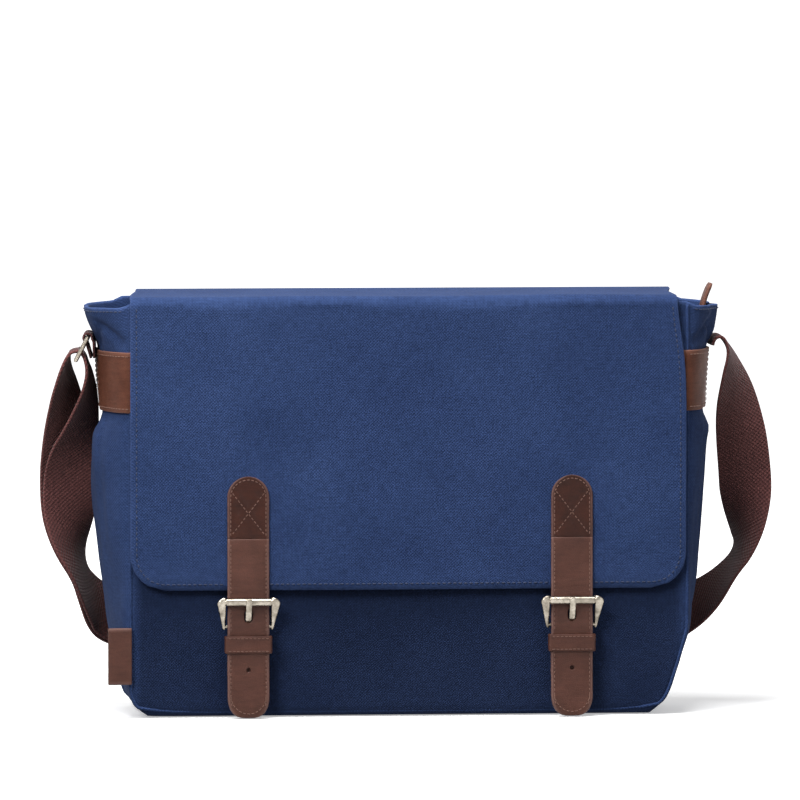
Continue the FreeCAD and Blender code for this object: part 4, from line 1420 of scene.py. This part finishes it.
def make_ring_loop():
    """Short webbing loop sewn under the left band and folded over the ring's upper bar."""
    keep(soften("strap_ring", NICKEL, 0.3 * MM, 3), "strap_ring", "nickel", "strap_ring")
    bar = joint_place("ring_swing")
    r = 3.1 * MM
    line = [Vector((bar.x + 4.6 * MM, 0, BAND_HIGH.z - 6 * MM)),
            Vector((bar.x + 4.2 * MM, 0, bar.z - 3 * MM))]
    for k in range(13):
        t = math.radians(-10 + 215 * k / 12)
        line.append(Vector((bar.x + r * math.cos(t), 0, bar.z + r * math.sin(t))))
    line.append(Vector((bar.x - 0.4 * MM, 0, bar.z - 5.4 * MM)))
    line.append(Vector((bar.x + 2.3 * MM, 0, BAND_HIGH.z - 6 * MM)))
    across = Vector((0.087, 0.996, 0))
    stations = [(place, across, across.cross(heading(line, i)), WEB_HALF, 1.6 * MM)
                for i, place in enumerate(line)]
    loop = strip("ring_webbing_loop", stations, WEBBING, 40)
    keep(loop, "root", "webbing", "ring_loop")


# ---------------------------------------------------------------- inside

def make_inside():
    """Lining, slip pocket and the board that stiffens the base."""
    rings = []
    base = 7.5 * MM
    for scale in (0.02, 0.6, 0.94):
        rings.append([Vector((p.x * scale, p.y * scale, base)) for p in bag_loop(24 * MM, 5 * MM)])
    for z in (12 * MM + 10 * MM * k for k in range(25)):
        loop = bag_loop(max(z, 24 * MM), 4.2 * MM)
        rings.append([Vector((max(-192 * MM, min(192 * MM, p.x)), p.y, z)) for p in loop])
    for ring in list(reversed(rings))[:-2]:
        rings.append([Vector((p.x * 0.995, p.y * 0.975, p.z + 0.8 * MM)) for p in ring])
    keep(loft("lining_cloth", rings, LINING), "root", "lining_cloth", "lining")
    low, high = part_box("inner_pocket")
    stations = [(Vector((0, (low.y + high.y) / 2 - 0.4 * MM, z)), RIGHT, FRONT, high.x,
                 1.8 * MM if k > 27 else 1.2 * MM)
                for k, z in enumerate(spread(low.z, high.z, 30))]
    pocket = strip("slip_pocket", stations, LINING, 60,
                   lambda a, i: wave(a * 20, i * 0.3, 0, 71) * 0.5 * MM)
    keep(pocket, "root", "lining_cloth", "inner_pocket")
    repaint("base_board", BOARD)


# ---------------------------------------------------------------- studio

CAMERA_AZIMUTH, CAMERA_ELEVATION = math.radians(-5), math.radians(3.5)
CAMERA_LENS = 520.0
FRAME_WIDTH = 571.2 * MM        # how much the view takes in at the front panel
LOOK_AT = Vector((-6.8 * MM, -HALF_D, 227.2 * MM))


def make_studio():
    camera = bpy.data.cameras.new("camera")
    camera.lens = CAMERA_LENS
    camera.sensor_width = 36.0
    camera.clip_end = 100
    far = FRAME_WIDTH * CAMERA_LENS / camera.sensor_width
    away = Vector((math.sin(CAMERA_AZIMUTH) * math.cos(CAMERA_ELEVATION),
                   -math.cos(CAMERA_AZIMUTH) * math.cos(CAMERA_ELEVATION),
                   math.sin(CAMERA_ELEVATION)))
    eye = link(bpy.data.objects.new("camera", camera))
    eye.location = LOOK_AT + away * far
    eye.rotation_euler = (-away).to_track_quat("-Z", "Y").to_euler()
    bpy.context.scene.camera = eye
    for name, place, size, watts in (("key", (-1.4, -1.9, 1.7), 1.0, 52),
                                     ("fill", (1.4, -2.4, 1.1), 1.4, 8),
                                     ("top", (-0.2, -0.60, 2.2), 1.0, 56),
                                     ("rear", (0.6, 1.6, 1.6), 1.2, 10)):
        light = bpy.data.lights.new(name, "AREA")
        light.size = size
        light.energy = watts
        lamp = link(bpy.data.objects.new(name, light))
        lamp.location = place
        lamp.rotation_euler = (Vector((0, 0, 0.15)) - lamp.location).to_track_quat(
            "-Z", "Y").to_euler()
    world = bpy.data.worlds.new("studio")
    world.use_nodes = True
    sky = world.node_tree.nodes["Background"]
    sky.inputs[0].default_value = (0.98, 0.98, 1.0, 1.0)
    sky.inputs[1].default_value = 0.20
    bpy.context.scene.world = world
    bpy.context.scene.view_settings.view_transform = "Standard"
    rise = [(9.0 + 2.0 * math.sin(t), 2.0 - 2.0 * math.cos(t))
            for t in (math.pi / 2 * k / 12 for k in range(13))]
    profile = [(0.4, 0.0), (1.5, 0.0)] + rise + [(11.0, 9.0)]
    around = 48
    verts = [(r * math.cos(t), r * math.sin(t), z) for r, z in profile
             for t in (math.tau * k / around for k in range(around))]
    faces = [(i * around + (k + 1) % around, i * around + k, (i + 1) * around + k,
              (i + 1) * around + (k + 1) % around)
             for i in range(len(profile) - 1) for k in range(around)]
    sweep = solid("sweep", verts, faces + [tuple(range(around))], sweep_paper())
    sweep.visible_diffuse = False


def main():
    make_studio()
    make_shoulder_strap()
    make_bag_shell()
    make_seams()
    make_flap()
    flap_stitching()
    for name, side in SIDES:
        make_strap(name, side * STRAP_X)
        make_buckle(name, side * STRAP_X)
        make_holders(name, side * STRAP_X)
    make_bands()
    make_label_tab()
    make_zip()
    make_inside()


main()
